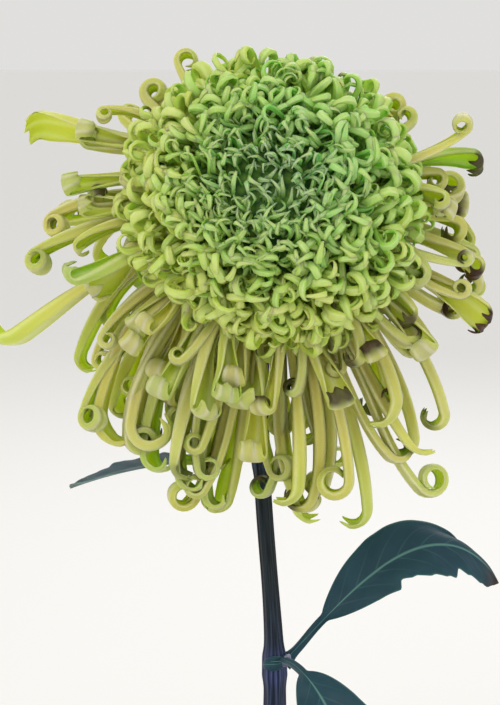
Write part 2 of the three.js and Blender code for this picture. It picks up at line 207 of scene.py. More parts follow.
def mesh_piece(
    name: str,
    points: np.ndarray,
    faces: list[np.ndarray],
    corners: np.ndarray,
    marks: dict[str, np.ndarray],
    material: bpy.types.Material,
) -> bpy.types.Object:
    """Makes one object from arrays, with its place in its mesh.

    Args:
        name: the piece's name.
        points: the vertices (..., 3) in mm.
        faces: arrays of faces (F, n), one for each number of corners n.
        corners: the UV (F, n, 2) of the corners of the first array of faces. The rest have 0, 0.
        marks: values for the vertices by attribute name, each with as many numbers as there are vertices.
        material: its material.

    Returns:
        The object.
    """
    mesh = bpy.data.meshes.new(name)
    places = points.reshape(-1, 3) * MM
    loops = np.concatenate([f.ravel() for f in faces])
    sizes = np.concatenate([np.full(len(f), f.shape[1]) for f in faces])
    mesh.vertices.add(len(places))
    mesh.vertices.foreach_set("co", places.astype(np.float32).ravel())
    mesh.loops.add(len(loops))
    mesh.polygons.add(len(sizes))
    mesh.polygons.foreach_set("loop_start", (np.cumsum(sizes) - sizes).astype(np.int32))
    mesh.polygons.foreach_set("vertices", loops.astype(np.int32))
    mesh.update(calc_edges=True)
    uv = np.zeros((len(loops), 2), np.float32)
    uv[: corners.size // 2] = corners.reshape(-1, 2)
    mesh.uv_layers.new(name="UVMap").data.foreach_set("uv", uv.ravel())
    for mark, values in marks.items():
        mark_points(mesh, mark, values)
    mesh.polygons.foreach_set("use_smooth", np.ones(len(sizes), bool))
    mesh.materials.append(material)
    mesh.validate()
    piece = bpy.data.objects.new(name, mesh)
    bpy.context.scene.collection.objects.link(piece)
    return piece


def settle(piece: bpy.types.Object, nodes: list[str] | None = None) -> None:
    """Puts a piece on the plant's one body and the CAD nodes that it stands for.

    Args:
        piece: the object.
        nodes: names of the nodes.
    """
    if nodes:
        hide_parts(*nodes)
    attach(piece, "root")
    triangles = sum(len(p.vertices) - 2 for p in piece.data.polygons)
    LOG.info("%s: %d triangles", piece.name, triangles)


@dataclass
class Tubes:
    """Closed tubes: a section carried along each of M paths, at K stations with S points round.

    point, side, face and tangent are (M, K, 3). outline is (M, K, S, 3), in shares of the last three.
    """

    point: np.ndarray
    side: np.ndarray
    face: np.ndarray
    tangent: np.ndarray
    outline: np.ndarray

    def vertices(self) -> np.ndarray:
        """Station + side x + face y + tangent z for each point of its section, (M, K, S, 3)."""
        x, y, z = (self.outline[..., i, None] for i in range(3))
        point, side, face, tangent = (a[:, :, None] for a in (self.point, self.side, self.face, self.tangent))
        return point + side * x + face * y + tangent * z

    def piece(
        self, name: str, cap: np.ndarray, marks: dict[str, np.ndarray], material: bpy.types.Material
    ) -> bpy.types.Object:
        """Makes the tubes one object.

        Args:
            name: its name.
            cap: the faces that fill a section.
            marks: attributes, each of a shape that spreads over (M, K, S).
            material: its material.

        Returns:
            The object.
        """
        copies, rows, columns = self.outline.shape[:3]
        quads, corners = grid_faces(rows, columns, copies)
        ends = end_faces(cap, rows, columns, copies)
        spread = {mark: np.broadcast_to(values, (copies, rows, columns)) for mark, values in marks.items()}
        return mesh_piece(name, self.vertices(), [quads, ends], corners, spread, material)


@dataclass
class Paths:
    """Stations of M paths, each an arm that ends in a coil: all (M, K, 3), and share (M, K) of the length."""

    point: np.ndarray
    side: np.ndarray
    face: np.ndarray
    tangent: np.ndarray
    share: np.ndarray

    def tubes(self, outline: np.ndarray) -> Tubes:
        """The tubes that an outline (M, K, S, 3) makes along these paths."""
        return Tubes(self.point, self.side, self.face, self.tangent, outline)


@dataclass
class Growth:
    """How M paths grow: from (M, 3) vectors, and from numbers for them all or arrays of M numbers."""

    start: np.ndarray
    heading: np.ndarray
    reference: np.ndarray
    pull: np.ndarray
    reach: np.ndarray | float
    roll: np.ndarray | float = 0.0
    turns: np.ndarray | float = 0.0
    radius: np.ndarray | float = 1.0
    pitch: np.ndarray | float = 0.0
    sway: np.ndarray | float = 0.0
    tightening: float = 0.45
    lateness: float = 1.0
    lead: float = 0.0
    arm_steps: int = 20
    coil_steps: int = 22

    def __post_init__(self) -> None:
        """Spreads single numbers over the paths."""
        for key in ("reach", "roll", "turns", "radius", "pitch", "sway"):
            setattr(self, key, np.broadcast_to(getattr(self, key), len(self.start)))

    def faces(self, tangent: np.ndarray) -> np.ndarray:
        """The reference, squared to the arm's tangents (M, K, 3) and turned about them by the roll."""
        face = square_to(tangent, np.broadcast_to(self.reference[:, None], tangent.shape))
        return turned(face, tangent, np.broadcast_to(self.roll[:, None], face.shape[:2]))

    def paths(self) -> Paths:
        """Works the stations out.

        Along the arm the tangent t is heading + pull s^lateness, made unit, for s from 0 to 1, and it leans
        by lead s^5 towards the last face f. Along the coil, at angle a, the tangent is t cos a + f sin a and
        the face f cos a - t sin a, and a step is radius (1 - tightening share) da long, with a sideways
        travel of `pitch` a turn. `sway` bends the arm sideways in one slow wave.

        Returns:
            The paths.
        """
        s = np.linspace(0, 1, self.arm_steps + 1)[None, :, None]
        tangent = unit(self.heading[:, None] + self.pull[:, None] * s**self.lateness)
        if self.lead:
            tangent = unit(tangent + self.faces(tangent)[:, -1:] * self.lead * s**5)
        steps = unit(tangent[:, 1:] + tangent[:, :-1]) * (self.reach / self.arm_steps)[:, None, None]
        zero = np.zeros((len(self.reach), 1, 3))
        arm = self.start[:, None] + np.concatenate([zero, np.cumsum(steps, 1)], 1)
        face = self.faces(tangent)
        side = np.cross(tangent, face)
        arm = arm + side * self.sway[:, None, None] * np.sin(math.pi * s) ** 2 * np.sin(2.2 * math.pi * s)
        n = np.arange(1, self.coil_steps + 1)[None, :]
        step = (2 * math.pi * self.turns / self.coil_steps)[:, None]
        t, f, e = tangent[:, -1:], face[:, -1:], side[:, -1:]
        angle, mid = (step * n)[..., None], (step * (n - 0.5))[..., None]
        length = self.radius[:, None] * (1 - self.tightening * n / self.coil_steps) * step
        along = (t * np.cos(mid) + f * np.sin(mid)) * length[..., None]
        across = e * (self.pitch[:, None] * step / (2 * math.pi))[..., None]
        coil = arm[:, -1:] + np.cumsum(along + across, 1)
        point = np.concatenate([arm, coil], 1)
        moved = np.linalg.norm(np.diff(point, axis=1), axis=-1)
        travel = np.concatenate([np.zeros((len(point), 1)), np.cumsum(moved, 1)], 1)
        return Paths(
            point=point,
            side=np.concatenate([side, np.broadcast_to(e, along.shape)], 1),
            face=np.concatenate([face, f * np.cos(angle) - t * np.sin(angle)], 1),
            tangent=np.concatenate([tangent, t * np.cos(angle) + f * np.sin(angle)], 1),
            share=travel / travel[:, -1:],
        )


def lathe_piece(
    name: str,
    profile: np.ndarray,
    steps: int,
    basis: np.ndarray,
    centre: np.ndarray,
    material: bpy.types.Material,
) -> bpy.types.Object:
    """Turns a profile's (radius, height) points round an axis: radius (x cos a + y sin a) + z height.

    Args:
        name: the piece's name.
        profile: (K, 2), from one end by the axis to the other, up the outside or down the inside.
        steps: vertices in a ring.
        basis: the rows are the directions x, y and z.
        centre: the origin, in mm.
        material: its material.

    Returns:
        The object.
    """
    a = bearings(steps)
    ring = np.cos(a)[:, None] * basis[0] - np.sin(a)[:, None] * basis[1]
    points = centre + profile[:, 0, None, None] * ring[None] + profile[:, 1, None, None] * basis[2]
    quads, corners = grid_faces(len(profile), steps)
    ends = end_faces(np.arange(steps)[None], len(profile), steps)
    return mesh_piece(name, points, [quads, ends], corners, {}, material)


def rounded(corners: np.ndarray, radii: list[float], steps: int = 6) -> np.ndarray:
    """Rounds a polyline's inner corners with parabolas, a (1-t)^2 + b 2t(1-t) + c t^2.

    Args:
        corners: (N, 2).
        radii: how far from each inner corner its curve starts, N - 2 numbers.
        steps: segments in a curve.

    Returns:
        The points (K, 2).
    """
    t = np.linspace(0, 1, steps + 1)[:, None]
    middle = corners[1:-1]
    before = middle + unit(corners[:-2] - middle) * np.array(radii)[:, None]
    after = middle + unit(corners[2:] - middle) * np.array(radii)[:, None]
    curves = before[:, None] * (1 - t) ** 2 + middle[:, None] * 2 * t * (1 - t) + after[:, None] * t**2
    return np.concatenate([corners[:1], curves.reshape(-1, 2), corners[-1:]])


# ---------------------------------------------------------------- finishes


def linear(hex_colour: str) -> tuple[float, float, float, float]:
    """An sRGB colour such as #a0b0c0 as linear RGBA."""
    values = [int(hex_colour[i : i + 2], 16) / 255 for i in (1, 3, 5)]
    return (*[v / 12.92 if v <= 0.04045 else ((v + 0.055) / 1.055) ** 2.4 for v in values], 1.0)


# The output that a node is wanted for, where that isn't its first, and the Mix node's inputs for colours.
WANTED_OUTPUT = {"Attribute": "Fac", "TexCoord": "Object", "Mix": 2}
FACTOR, FIRST, SECOND = 0, 6, 7


def add_node(
    tree: bpy.types.NodeTree,
    kind: str,
    inputs: dict[int | str, object] | None = None,
    stops: list[tuple[float, str]] | None = None,
    **settings: object,
) -> bpy.types.NodeSocket | None:
    """Adds a node.

    Args:
        tree: the material's node tree.
        kind: the node's type, after ShaderNode.
        inputs: a value, an sRGB colour or a socket to link, by input.
        stops: a colour ramp's places and colours.
        settings: the node's own properties.

    Returns:
        The output that it is wanted for, or None where it has no outputs.
    """
    node = tree.nodes.new("ShaderNode" + kind)
    for key, value in settings.items():
        setattr(node, key, value)
    for key, value in (inputs or {}).items():
        if isinstance(value, bpy.types.NodeSocket):
            tree.links.new(value, node.inputs[key])
        else:
            node.inputs[key].default_value = linear(value) if isinstance(value, str) else value
    for i, (place, colour) in enumerate(stops or []):
        elements = node.color_ramp.elements
        element = elements[i] if i < 2 else elements.new(place)
        element.position = place
        element.color = linear(colour)
    return node.outputs[WANTED_OUTPUT.get(kind, 0)] if node.outputs else None


@dataclass(frozen=True)
class Finish:
    """What a surface is and how it was made. A finish of its own gives the shader's inputs."""

    name: str

    def surface(self, add: Callable[..., bpy.types.NodeSocket]) -> dict[str, object]:
        """Adds the nodes of the pattern with `add`, and returns the surface shader's inputs."""
        raise NotImplementedError

    def material(self) -> bpy.types.Material:
        """Builds the material."""
        material = bpy.data.materials.new(self.name)
        material.use_nodes = True
        material.node_tree.nodes.clear()
        add = partial(add_node, material.node_tree)
        add("OutputMaterial", {0: add("BsdfPrincipled", self.surface(add))})
        return material


@dataclass(frozen=True)
class PetalFinish(Finish):
    """Ray floret tissue, grown and waxy: thin, translucent and ribbed along its length.

    The eye gets a soft glow where the light comes through, paler ribs with a painted highlight along each
    ridge, painted shade in the grooves, a deeper yellow-green at the foot that is partly painted shade among
    the crowded bases, a painted highlight along one side of each tube, and small brown tips where it has
    withered.
    """

    heart: str = "#86cc80"
    middle: str = "#82ce5c"
    outer: str = "#9fd049"
    quill: str = "#d9d852"
    # The colour of the paler ribs, also used for the painted highlight along one side.
    pale: str = "#e4e9ae"
    # The foot colours below are partly the tissue's own greener base and partly painted shade among the
    # crowded bases.
    deep: str = "#58a03c"
    leafy_foot_painted_shade: str = "#84bb36"
    foot: str = "#adc022"
    quill_foot_painted_shade: str = "#c6c034"
    withered: str = "#3d2320"
    ribs: float = 7
    rib_strength: float = 0.5
    # Which side of each tube gets the painted highlight, by its sign.
    painted_highlight_side: float = 1.0
    foot_painted_shade_reach: float = 0.5

    def surface(self, add: Callable[..., bpy.types.NodeSocket]) -> dict[str, object]:
        """Reads tint, along, wither and fleck, and turns the ribs with the UV's share round."""
        marks = ("tint", "along", "wither", "fleck")
        tint, along, wither, fleck = (add("Attribute", attribute_name=mark) for mark in marks)
        around = add("SeparateXYZ", {0: add("UVMap", uv_map="UVMap")})
        turn = add("Math", {0: around, 1: 2 * math.pi * self.ribs}, operation="MULTIPLY")
        rib = add("Math", {0: turn}, operation="SINE")
        # Cells and hairs of about 0.6 mm, drawn a little coarse so that they show.
        grain = add("TexNoise", {"Vector": add("TexCoord"), "Scale": 900.0, "Detail": 3.0})
        fresh_stops = [(0.1, self.heart), (0.45, self.middle), (0.74, self.outer), (1.0, self.quill)]
        # Colours at the foot: partly the florets' own greener base, partly painted shade among the crowded
        # bases.
        foot_painted_shade_stops = [(0.05, self.deep), (0.45, self.leafy_foot_painted_shade), (0.74, self.foot), (1.0, self.quill_foot_painted_shade)]
        fresh = add("ValToRGB", {0: tint}, fresh_stops)
        foot = add("ValToRGB", {0: tint}, foot_painted_shade_stops)
        rise = add("MapRange", {0: along, 1: 0.0, 2: self.foot_painted_shade_reach, 3: 0.0, 4: 1.0})
        # The grooves between the ribs take more of the foot colour: painted shade in the grooves.
        groove = add("MapRange", {0: rib, 1: -0.1, 2: -1.0, 3: 0.0, 4: self.rib_strength})
        shade = add("Math", {0: rise, 1: groove}, operation="SUBTRACT")
        body = add("Mix", {FACTOR: shade, FIRST: foot, SECOND: fresh}, data_type="RGBA")
        # The ribs turn paler: partly their own colour, partly a painted highlight along each ridge.
        lift = add("MapRange", {0: rib, 1: 0.1, 2: 0.9, 3: 0.0, 4: self.rib_strength})
        # One side of each tube turns paler: a painted highlight that stands in for sheen. Fleck adds a random
        # paleness to each petal as a whole.
        once = add("Math", {0: around, 1: 2 * math.pi}, operation="MULTIPLY")
        side = add("Math", {0: once}, operation="SINE")
        back = add("MapRange", {0: side, 1: 0.0, 2: self.painted_highlight_side, 3: 0.0, 4: 0.4})
        paler = add("Math", {0: fleck, 1: 0.22, 2: back}, operation="MULTIPLY_ADD")
        outside = add("Math", {0: paler, 1: rise}, operation="MULTIPLY")
        ribs_and_painted_highlight = add("Math", {0: outside, 1: lift}, operation="ADD")
        ribbed = add("Mix", {FACTOR: ribs_and_painted_highlight, FIRST: body, SECOND: self.pale}, data_type="RGBA")
        blotch = add("Math", {0: grain, 1: 0.4}, operation="MULTIPLY")
        flecked = add("Mix", {FACTOR: blotch, FIRST: ribbed, SECOND: body}, data_type="RGBA")
        dry = add("Mix", {FACTOR: wither, FIRST: flecked, SECOND: self.withered}, data_type="RGBA")
        relief = add("Math", {0: grain, 1: 0.35, 2: rib}, operation="MULTIPLY_ADD")
        deepest = self.rib_strength * 1.2 * MM
        return {
            "Base Color": dry,
            "Roughness": 0.42,
            "IOR": 1.4,
            "Specular IOR Level": 0.4,
            "Subsurface Weight": 0.55,
            "Subsurface Radius": (0.6, 1.0, 0.15),
            "Subsurface Scale": 3.2 * MM,
            "Normal": add("Bump", {"Strength": 0.55, "Distance": deepest, "Height": relief}),
        }


@dataclass(frozen=True)
class LeafFinish(Finish):
    """Chrysanthemum leaf, grown: a leathery, softly downy upper side and a greyer underside.

    The eye gets a dull blue-green with a pale midrib, faint lateral veins, and a light, slightly worn edge.
    """

    name: str = "leaf_blade_downy"
    blade: str = "#123544"
    dusk: str = "#1e4957"
    vein: str = "#5f9087"
    under: str = "#4f746e"
    dried: str = "#251d1b"
    veins: float = 11.0

    def surface(self, add: Callable[..., bpy.types.NodeSocket]) -> dict[str, object]:
        """Reads across, from -1 to 1, along, upper and dry."""
        marks = ("across", "along", "upper", "dry")
        across, along, upper, dry = (add("Attribute", attribute_name=mark) for mark in marks)
        place = add("TexCoord")
        # The blade's colour drifts over about 12 mm, and its down and cells are about 0.5 mm, drawn at 1 mm.
        drift = add("TexNoise", {"Vector": place, "Scale": 80.0, "Detail": 4.0})
        down = add("TexNoise", {"Vector": place, "Scale": 1000.0, "Detail": 2.0})
        edge = add("Math", {0: across}, operation="ABSOLUTE")
        midrib = add("MapRange", {0: edge, 1: 0.01, 2: 0.055, 3: 0.85, 4: 0.0})
        # The laterals leave the midrib forwards.
        slant = add("Math", {0: edge, 1: -0.13, 2: along}, operation="MULTIPLY_ADD")
        count = add("Math", {0: slant, 1: 2 * math.pi * self.veins}, operation="MULTIPLY")
        wave = add("Math", {0: count}, operation="COSINE")
        lateral = add("MapRange", {0: wave, 1: 0.9, 2: 1.0, 3: 0.0, 4: 0.16})
        fading = add("MapRange", {0: edge, 1: 0.05, 2: 0.9, 3: 1.0, 4: 0.0})
        faded = add("Math", {0: lateral, 1: fading}, operation="MULTIPLY")
        vein = add("Math", {0: midrib, 1: faded}, operation="MAXIMUM")
        rim = add("MapRange", {0: edge, 1: 0.94, 2: 1.0, 3: 0.0, 4: 0.5})
        light = add("Math", {0: vein, 1: rim}, operation="MAXIMUM")
        body = add("Mix", {FACTOR: drift, FIRST: self.blade, SECOND: self.dusk}, data_type="RGBA")
        sided = add("Mix", {FACTOR: upper, FIRST: self.under, SECOND: body}, data_type="RGBA")
        veined = add("Mix", {FACTOR: light, FIRST: sided, SECOND: self.vein}, data_type="RGBA")
        worn = add("Mix", {FACTOR: dry, FIRST: veined, SECOND: self.dried}, data_type="RGBA")
        relief = add("Math", {0: down, 1: 0.5, 2: drift}, operation="MULTIPLY_ADD")
        return {
            "Base Color": worn,
            "Roughness": 0.52,
            "IOR": 1.42,
            "Specular IOR Level": 0.38,
            "Subsurface Weight": 0.12,
            "Subsurface Radius": (0.4, 0.8, 0.3),
            "Subsurface Scale": 1.0 * MM,
            "Sheen Weight": 0.06,
            "Sheen Roughness": 0.5,
            "Normal": add("Bump", {"Strength": 0.4, "Distance": 0.4 * MM, "Height": relief}),
        }


@dataclass(frozen=True)
class StemFinish(Finish):
    """Herbaceous stem skin, grown: ribbed, faintly waxy and flushed with purple.

    The eye gets fine light and dark streaks along it, slate green above and violet towards the leaf joints.
    """

    name: str = "stem_skin_ribbed"
    skin: str = "#080f12"
    streak: str = "#2a3c46"
    flush: str = "#101f42"
    flush_streak: str = "#5a6492"
    low: str = "#3c5a42"

    def surface(self, add: Callable[..., bpy.types.NodeSocket]) -> dict[str, object]:
        """Reads flush and low."""
        flush, low = (add("Attribute", attribute_name=mark) for mark in ("flush", "low"))
        # The streaks are about 0.7 mm wide and run some 30 mm: fine round the stem and long along it.
        long = add("Mapping", {"Vector": add("UVMap", uv_map="UVMap"), "Scale": (34.0, 14.0, 1.0)})
        streaks = add("TexNoise", {"Vector": long, "Scale": 1.0, "Detail": 3.0})
        strong = add("MapRange", {0: streaks, 1: 0.42, 2: 0.68, 3: 0.0, 4: 0.8})
        skin = add("Mix", {FACTOR: low, FIRST: self.skin, SECOND: self.low}, data_type="RGBA")
        flushed = add("Mix", {FACTOR: flush, FIRST: skin, SECOND: self.flush}, data_type="RGBA")
        lighter = add("Mix", {FACTOR: flush, FIRST: self.streak, SECOND: self.flush_streak}, data_type="RGBA")
        return {
            "Base Color": add("Mix", {FACTOR: strong, FIRST: flushed, SECOND: lighter}, data_type="RGBA"),
            "Roughness": 0.55,
            "Specular IOR Level": 0.25,
            "Normal": add("Bump", {"Strength": 0.4, "Distance": 0.3 * MM, "Height": streaks}),
        }


@dataclass(frozen=True)
class GreenFinish(Finish):
    """Bract tissue, grown: small green scales with a papery pale edge.

    The eye gets a soft mid green, finely mottled.
    """

    name: str = "bract_scale_green"
    body: str = "#54793f"
    pale: str = "#92a86a"

    def surface(self, add: Callable[..., bpy.types.NodeSocket]) -> dict[str, object]:
        """Mottles it, about 2 mm from spot to spot."""
        mottle = add("TexNoise", {"Vector": add("TexCoord"), "Scale": 450.0, "Detail": 3.0})
        return {
            "Base Color": add("ValToRGB", {0: mottle}, [(0.3, self.body), (0.75, self.pale)]),
            "Roughness": 0.55,
            "IOR": 1.42,
            "Normal": add("Bump", {"Strength": 0.3, "Distance": 0.2 * MM, "Height": mottle}),
        }


@dataclass(frozen=True)
class CoreFinish(Finish):
    """Crowded floret bases deep in the crown, grown: soft, shaded green tissue.

    The eye gets only a deep green between the florets: a dark colour that is partly painted shade of the
    crown's depths, darkest between the bases.
    """

    name: str = "floret_bed_shaded"
    dark: str = "#2a5426"
    light: str = "#7ba23a"

    def surface(self, add: Callable[..., bpy.types.NodeSocket]) -> dict[str, object]:
        """Marks the bases, about 3 mm across."""
        # Each base lighter and the gaps between them darker: partly painted shade in the gaps.
        cells = add("TexVoronoi", {"Vector": add("TexCoord"), "Scale": 330.0})
        return {
            "Base Color": add("ValToRGB", {0: cells}, [(0.0, self.light), (0.8, self.dark)]),
            "Roughness": 0.7,
            "IOR": 1.4,
            "Normal": add("Bump", {"Strength": 0.6, "Distance": 1.0 * MM, "Height": cells}),
        }


@dataclass(frozen=True)
class ClayFinish(Finish):
    """Terracotta, thrown and fired without glaze.

    The eye gets a dusty orange-brown, fine sand, faint turning lines, and a chalky bloom of lime low on the
    wall and along the rim.
    """

    name: str = "terracotta_thrown"
    body: str = "#b06a45"
    dark: str = "#8f4f33"
    lime: str = "#cdb39c"

    def surface(self, add: Callable[..., bpy.types.NodeSocket]) -> dict[str, object]:
        """Reads lime."""
        place = add("TexCoord")
        lime = add("Attribute", attribute_name="lime")
        # Clouds of about 25 mm, sand of about 0.6 mm, and turning lines about 2 mm apart.
        cloud = add("TexNoise", {"Vector": place, "Scale": 40.0, "Detail": 5.0})
        sand = add("TexNoise", {"Vector": place, "Scale": 1500.0, "Detail": 2.0})
        lines = add("Mapping", {"Vector": place, "Scale": (6.0, 6.0, 500.0)})
        turning = add("TexNoise", {"Vector": lines, "Scale": 1.0, "Detail": 2.0})
        colour = add("ValToRGB", {0: cloud}, [(0.3, self.dark), (0.7, self.body)])
        patch = add("Math", {0: cloud, 1: lime}, operation="MULTIPLY")
        chalk = add("MapRange", {0: patch, 1: 0.25, 2: 0.6, 3: 0.0, 4: 0.7})
        relief = add("Math", {0: sand, 1: 0.4, 2: turning}, operation="MULTIPLY_ADD")
        return {
            "Base Color": add("Mix", {FACTOR: chalk, FIRST: colour, SECOND: self.lime}, data_type="RGBA"),
            "Roughness": 0.86,
            "IOR": 1.5,
            "Normal": add("Bump", {"Strength": 0.45, "Distance": 0.4 * MM, "Height": relief}),
        }


@dataclass(frozen=True)
class CompostFinish(Finish):
    """Potting compost, damp and crumbly, or the bits that lie in it.

    The eye gets a dark, matt brown broken by lighter crumbs.
    """

    name: str = "compost_crumbly"
    dark: str = "#1d130d"
    light: str = "#4a3524"
    grain: float = 500.0  # crumbs of about 2 mm

    def surface(self, add: Callable[..., bpy.types.NodeSocket]) -> dict[str, object]:
        """Breaks it into crumbs."""
        crumbs = add("TexNoise", {"Vector": add("TexCoord"), "Scale": self.grain, "Detail": 4.0})
        return {
            "Base Color": add("ValToRGB", {0: crumbs}, [(0.35, self.dark), (0.75, self.light)]),
            "Roughness": 0.95,
            "IOR": 1.4,
            "Normal": add("Bump", {"Strength": 0.9, "Distance": 1.2 * MM, "Height": crumbs}),
        }


@dataclass(frozen=True)
class PaperFinish(Finish):
    """Seamless studio paper, rolled out: matt, pale and even."""

    name: str = "studio_paper"
    colour: str = "#fbfaf8"

    def surface(self, add: Callable[..., bpy.types.NodeSocket]) -> dict[str, object]:
        """Leaves it plain."""
        return {"Base Color": self.colour, "Roughness": 0.9}


# ---------------------------------------------------------------- the plant's own places


@dataclass(frozen=True)
class Bloom:
    """Where the bloom is and where it faces: angles in degrees, lengths in mm."""

    centre: tuple[float, float, float] = (-1.5, -6.0, 477.0)
    rise: float = 18.0
    turn: float = -6.0
    receptacle_radius: float = 13.0
    receptacle_top: float = 9.0
    receptacle_depth: float = 14.0
    neck_gap: float = 0.3

    @property
    def axis(self) -> np.ndarray:
        """Where the bloom faces."""
        rise, turn = math.radians(self.rise), math.radians(self.turn)
        return np.array([math.sin(turn) * math.cos(rise), -math.cos(turn) * math.cos(rise), math.sin(rise)])

    @property
    def basis(self) -> np.ndarray:
        """Its directions across, up its face, and along its axis, as rows."""
        across = unit(np.cross(UP, self.axis))
        return np.stack([across, unit(np.cross(self.axis, across)), self.axis])

    @property
    def neck(self) -> np.ndarray:
        """Where the stem meets the receptacle."""
        return np.array(self.centre) - self.axis * (self.receptacle_depth + self.neck_gap)

    def direction(self, clock: np.ndarray, tilt: np.ndarray) -> np.ndarray:
        """Directions at degrees clockwise from the top of the face, and degrees from the axis, (M, 3)."""
        clock, tilt = np.radians(clock), np.radians(tilt)
        local = np.stack([np.sin(tilt) * np.sin(clock), np.sin(tilt) * np.cos(clock), np.cos(tilt)], -1)
        return local @ self.basis


BLOOM = Bloom()


# ---------------------------------------------------------------- pot and soil


@dataclass
class Pot:
    """A tapered clay pot with a thick rim band, three drain holes, and a slightly uneven thrown wall."""

    height: float = 145.0
    rim_radius: float = 80.0
    base_radius: float = 52.0
    wall: float = 6.0
    floor: float = 8.0
    band: float = 28.0
    step: float = 4.0
    drain_radius: float = 6.0
    drain_circle: float = 30.0
    drains: int = 3
    turns: int = 160
    spacing: float = 4.0
    overshoot: float = 5.0
    lime_rise: float = 45.0
    lime_rim: float = 7.0

    def radius(self, height: float, inset: float = 0.0) -> float:
        """The outside's radius at a height, less `inset`: it goes straight from the base to the rim."""
        top = self.rim_radius - self.step
        return self.base_radius + (top - self.base_radius) * height / self.height - inset

    def profile(self) -> np.ndarray:
        """The section from the middle of the underside, up the outside and down the inside, (K, 2)."""
        foot = self.height - self.band
        corners = np.array(
            [
                [1.0, 0.0],
                [self.radius(0), 0.0],
                [self.radius(foot), foot],
                [self.radius(foot) + self.step, foot + self.step / 2],
                [self.rim_radius, self.height],
                [self.radius(self.height, self.wall), self.height],
                [self.radius(self.floor, self.wall), self.floor],
                [1.0, self.floor],
            ]
        )
        line = rounded(corners, [2.2, 1.2, 1.4, 2.2, 2.0, 4.0])
        travel = travelled(line)
        return resampled(line, travel, np.union1d(travel, np.arange(0, travel[-1], self.spacing)))

    def build(self) -> None:
        """Turns the pot, bores its drain holes, and marks where lime gathers."""
        material = ClayFinish().material()
        pot = lathe_piece("clay_pot", self.profile(), self.turns, np.eye(3), np.zeros(3), material)
        cutters = []
        for i in range(self.drains):
            angle = 2 * math.pi * (i + 0.5) / self.drains
            centre = np.array([math.sin(angle), math.cos(angle), 0.0]) * self.drain_circle
            ends = -self.overshoot, self.floor + self.overshoot
            line = np.array([[self.drain_radius, end] for end in ends])
            cutters.append(lathe_piece(f"drain_cutter_{i}", line, 40, np.eye(3), centre, material))
            bore = pot.modifiers.new(f"drain_{i}", "BOOLEAN")
            bore.operation, bore.solver, bore.object = "DIFFERENCE", "EXACT", cutters[-1]
        bored = bpy.data.meshes.new_from_object(pot.evaluated_get(bpy.context.evaluated_depsgraph_get()))
        pot.modifiers.clear()
        pot.data = bored
        for cutter in cutters:
            bpy.data.objects.remove(cutter)
        places = np.empty(len(bored.vertices) * 3, np.float32)
        bored.vertices.foreach_get("co", places)
        up = places[2::3] / MM
        low = np.clip(1 - up / self.lime_rise, 0, 1)
        mark_points(bored, "lime", low + np.exp(-(((up - self.height) / self.lime_rim) ** 2)))
        bored.set_sharp_from_angle(angle=math.radians(50))
        settle(pot, ["pot"])


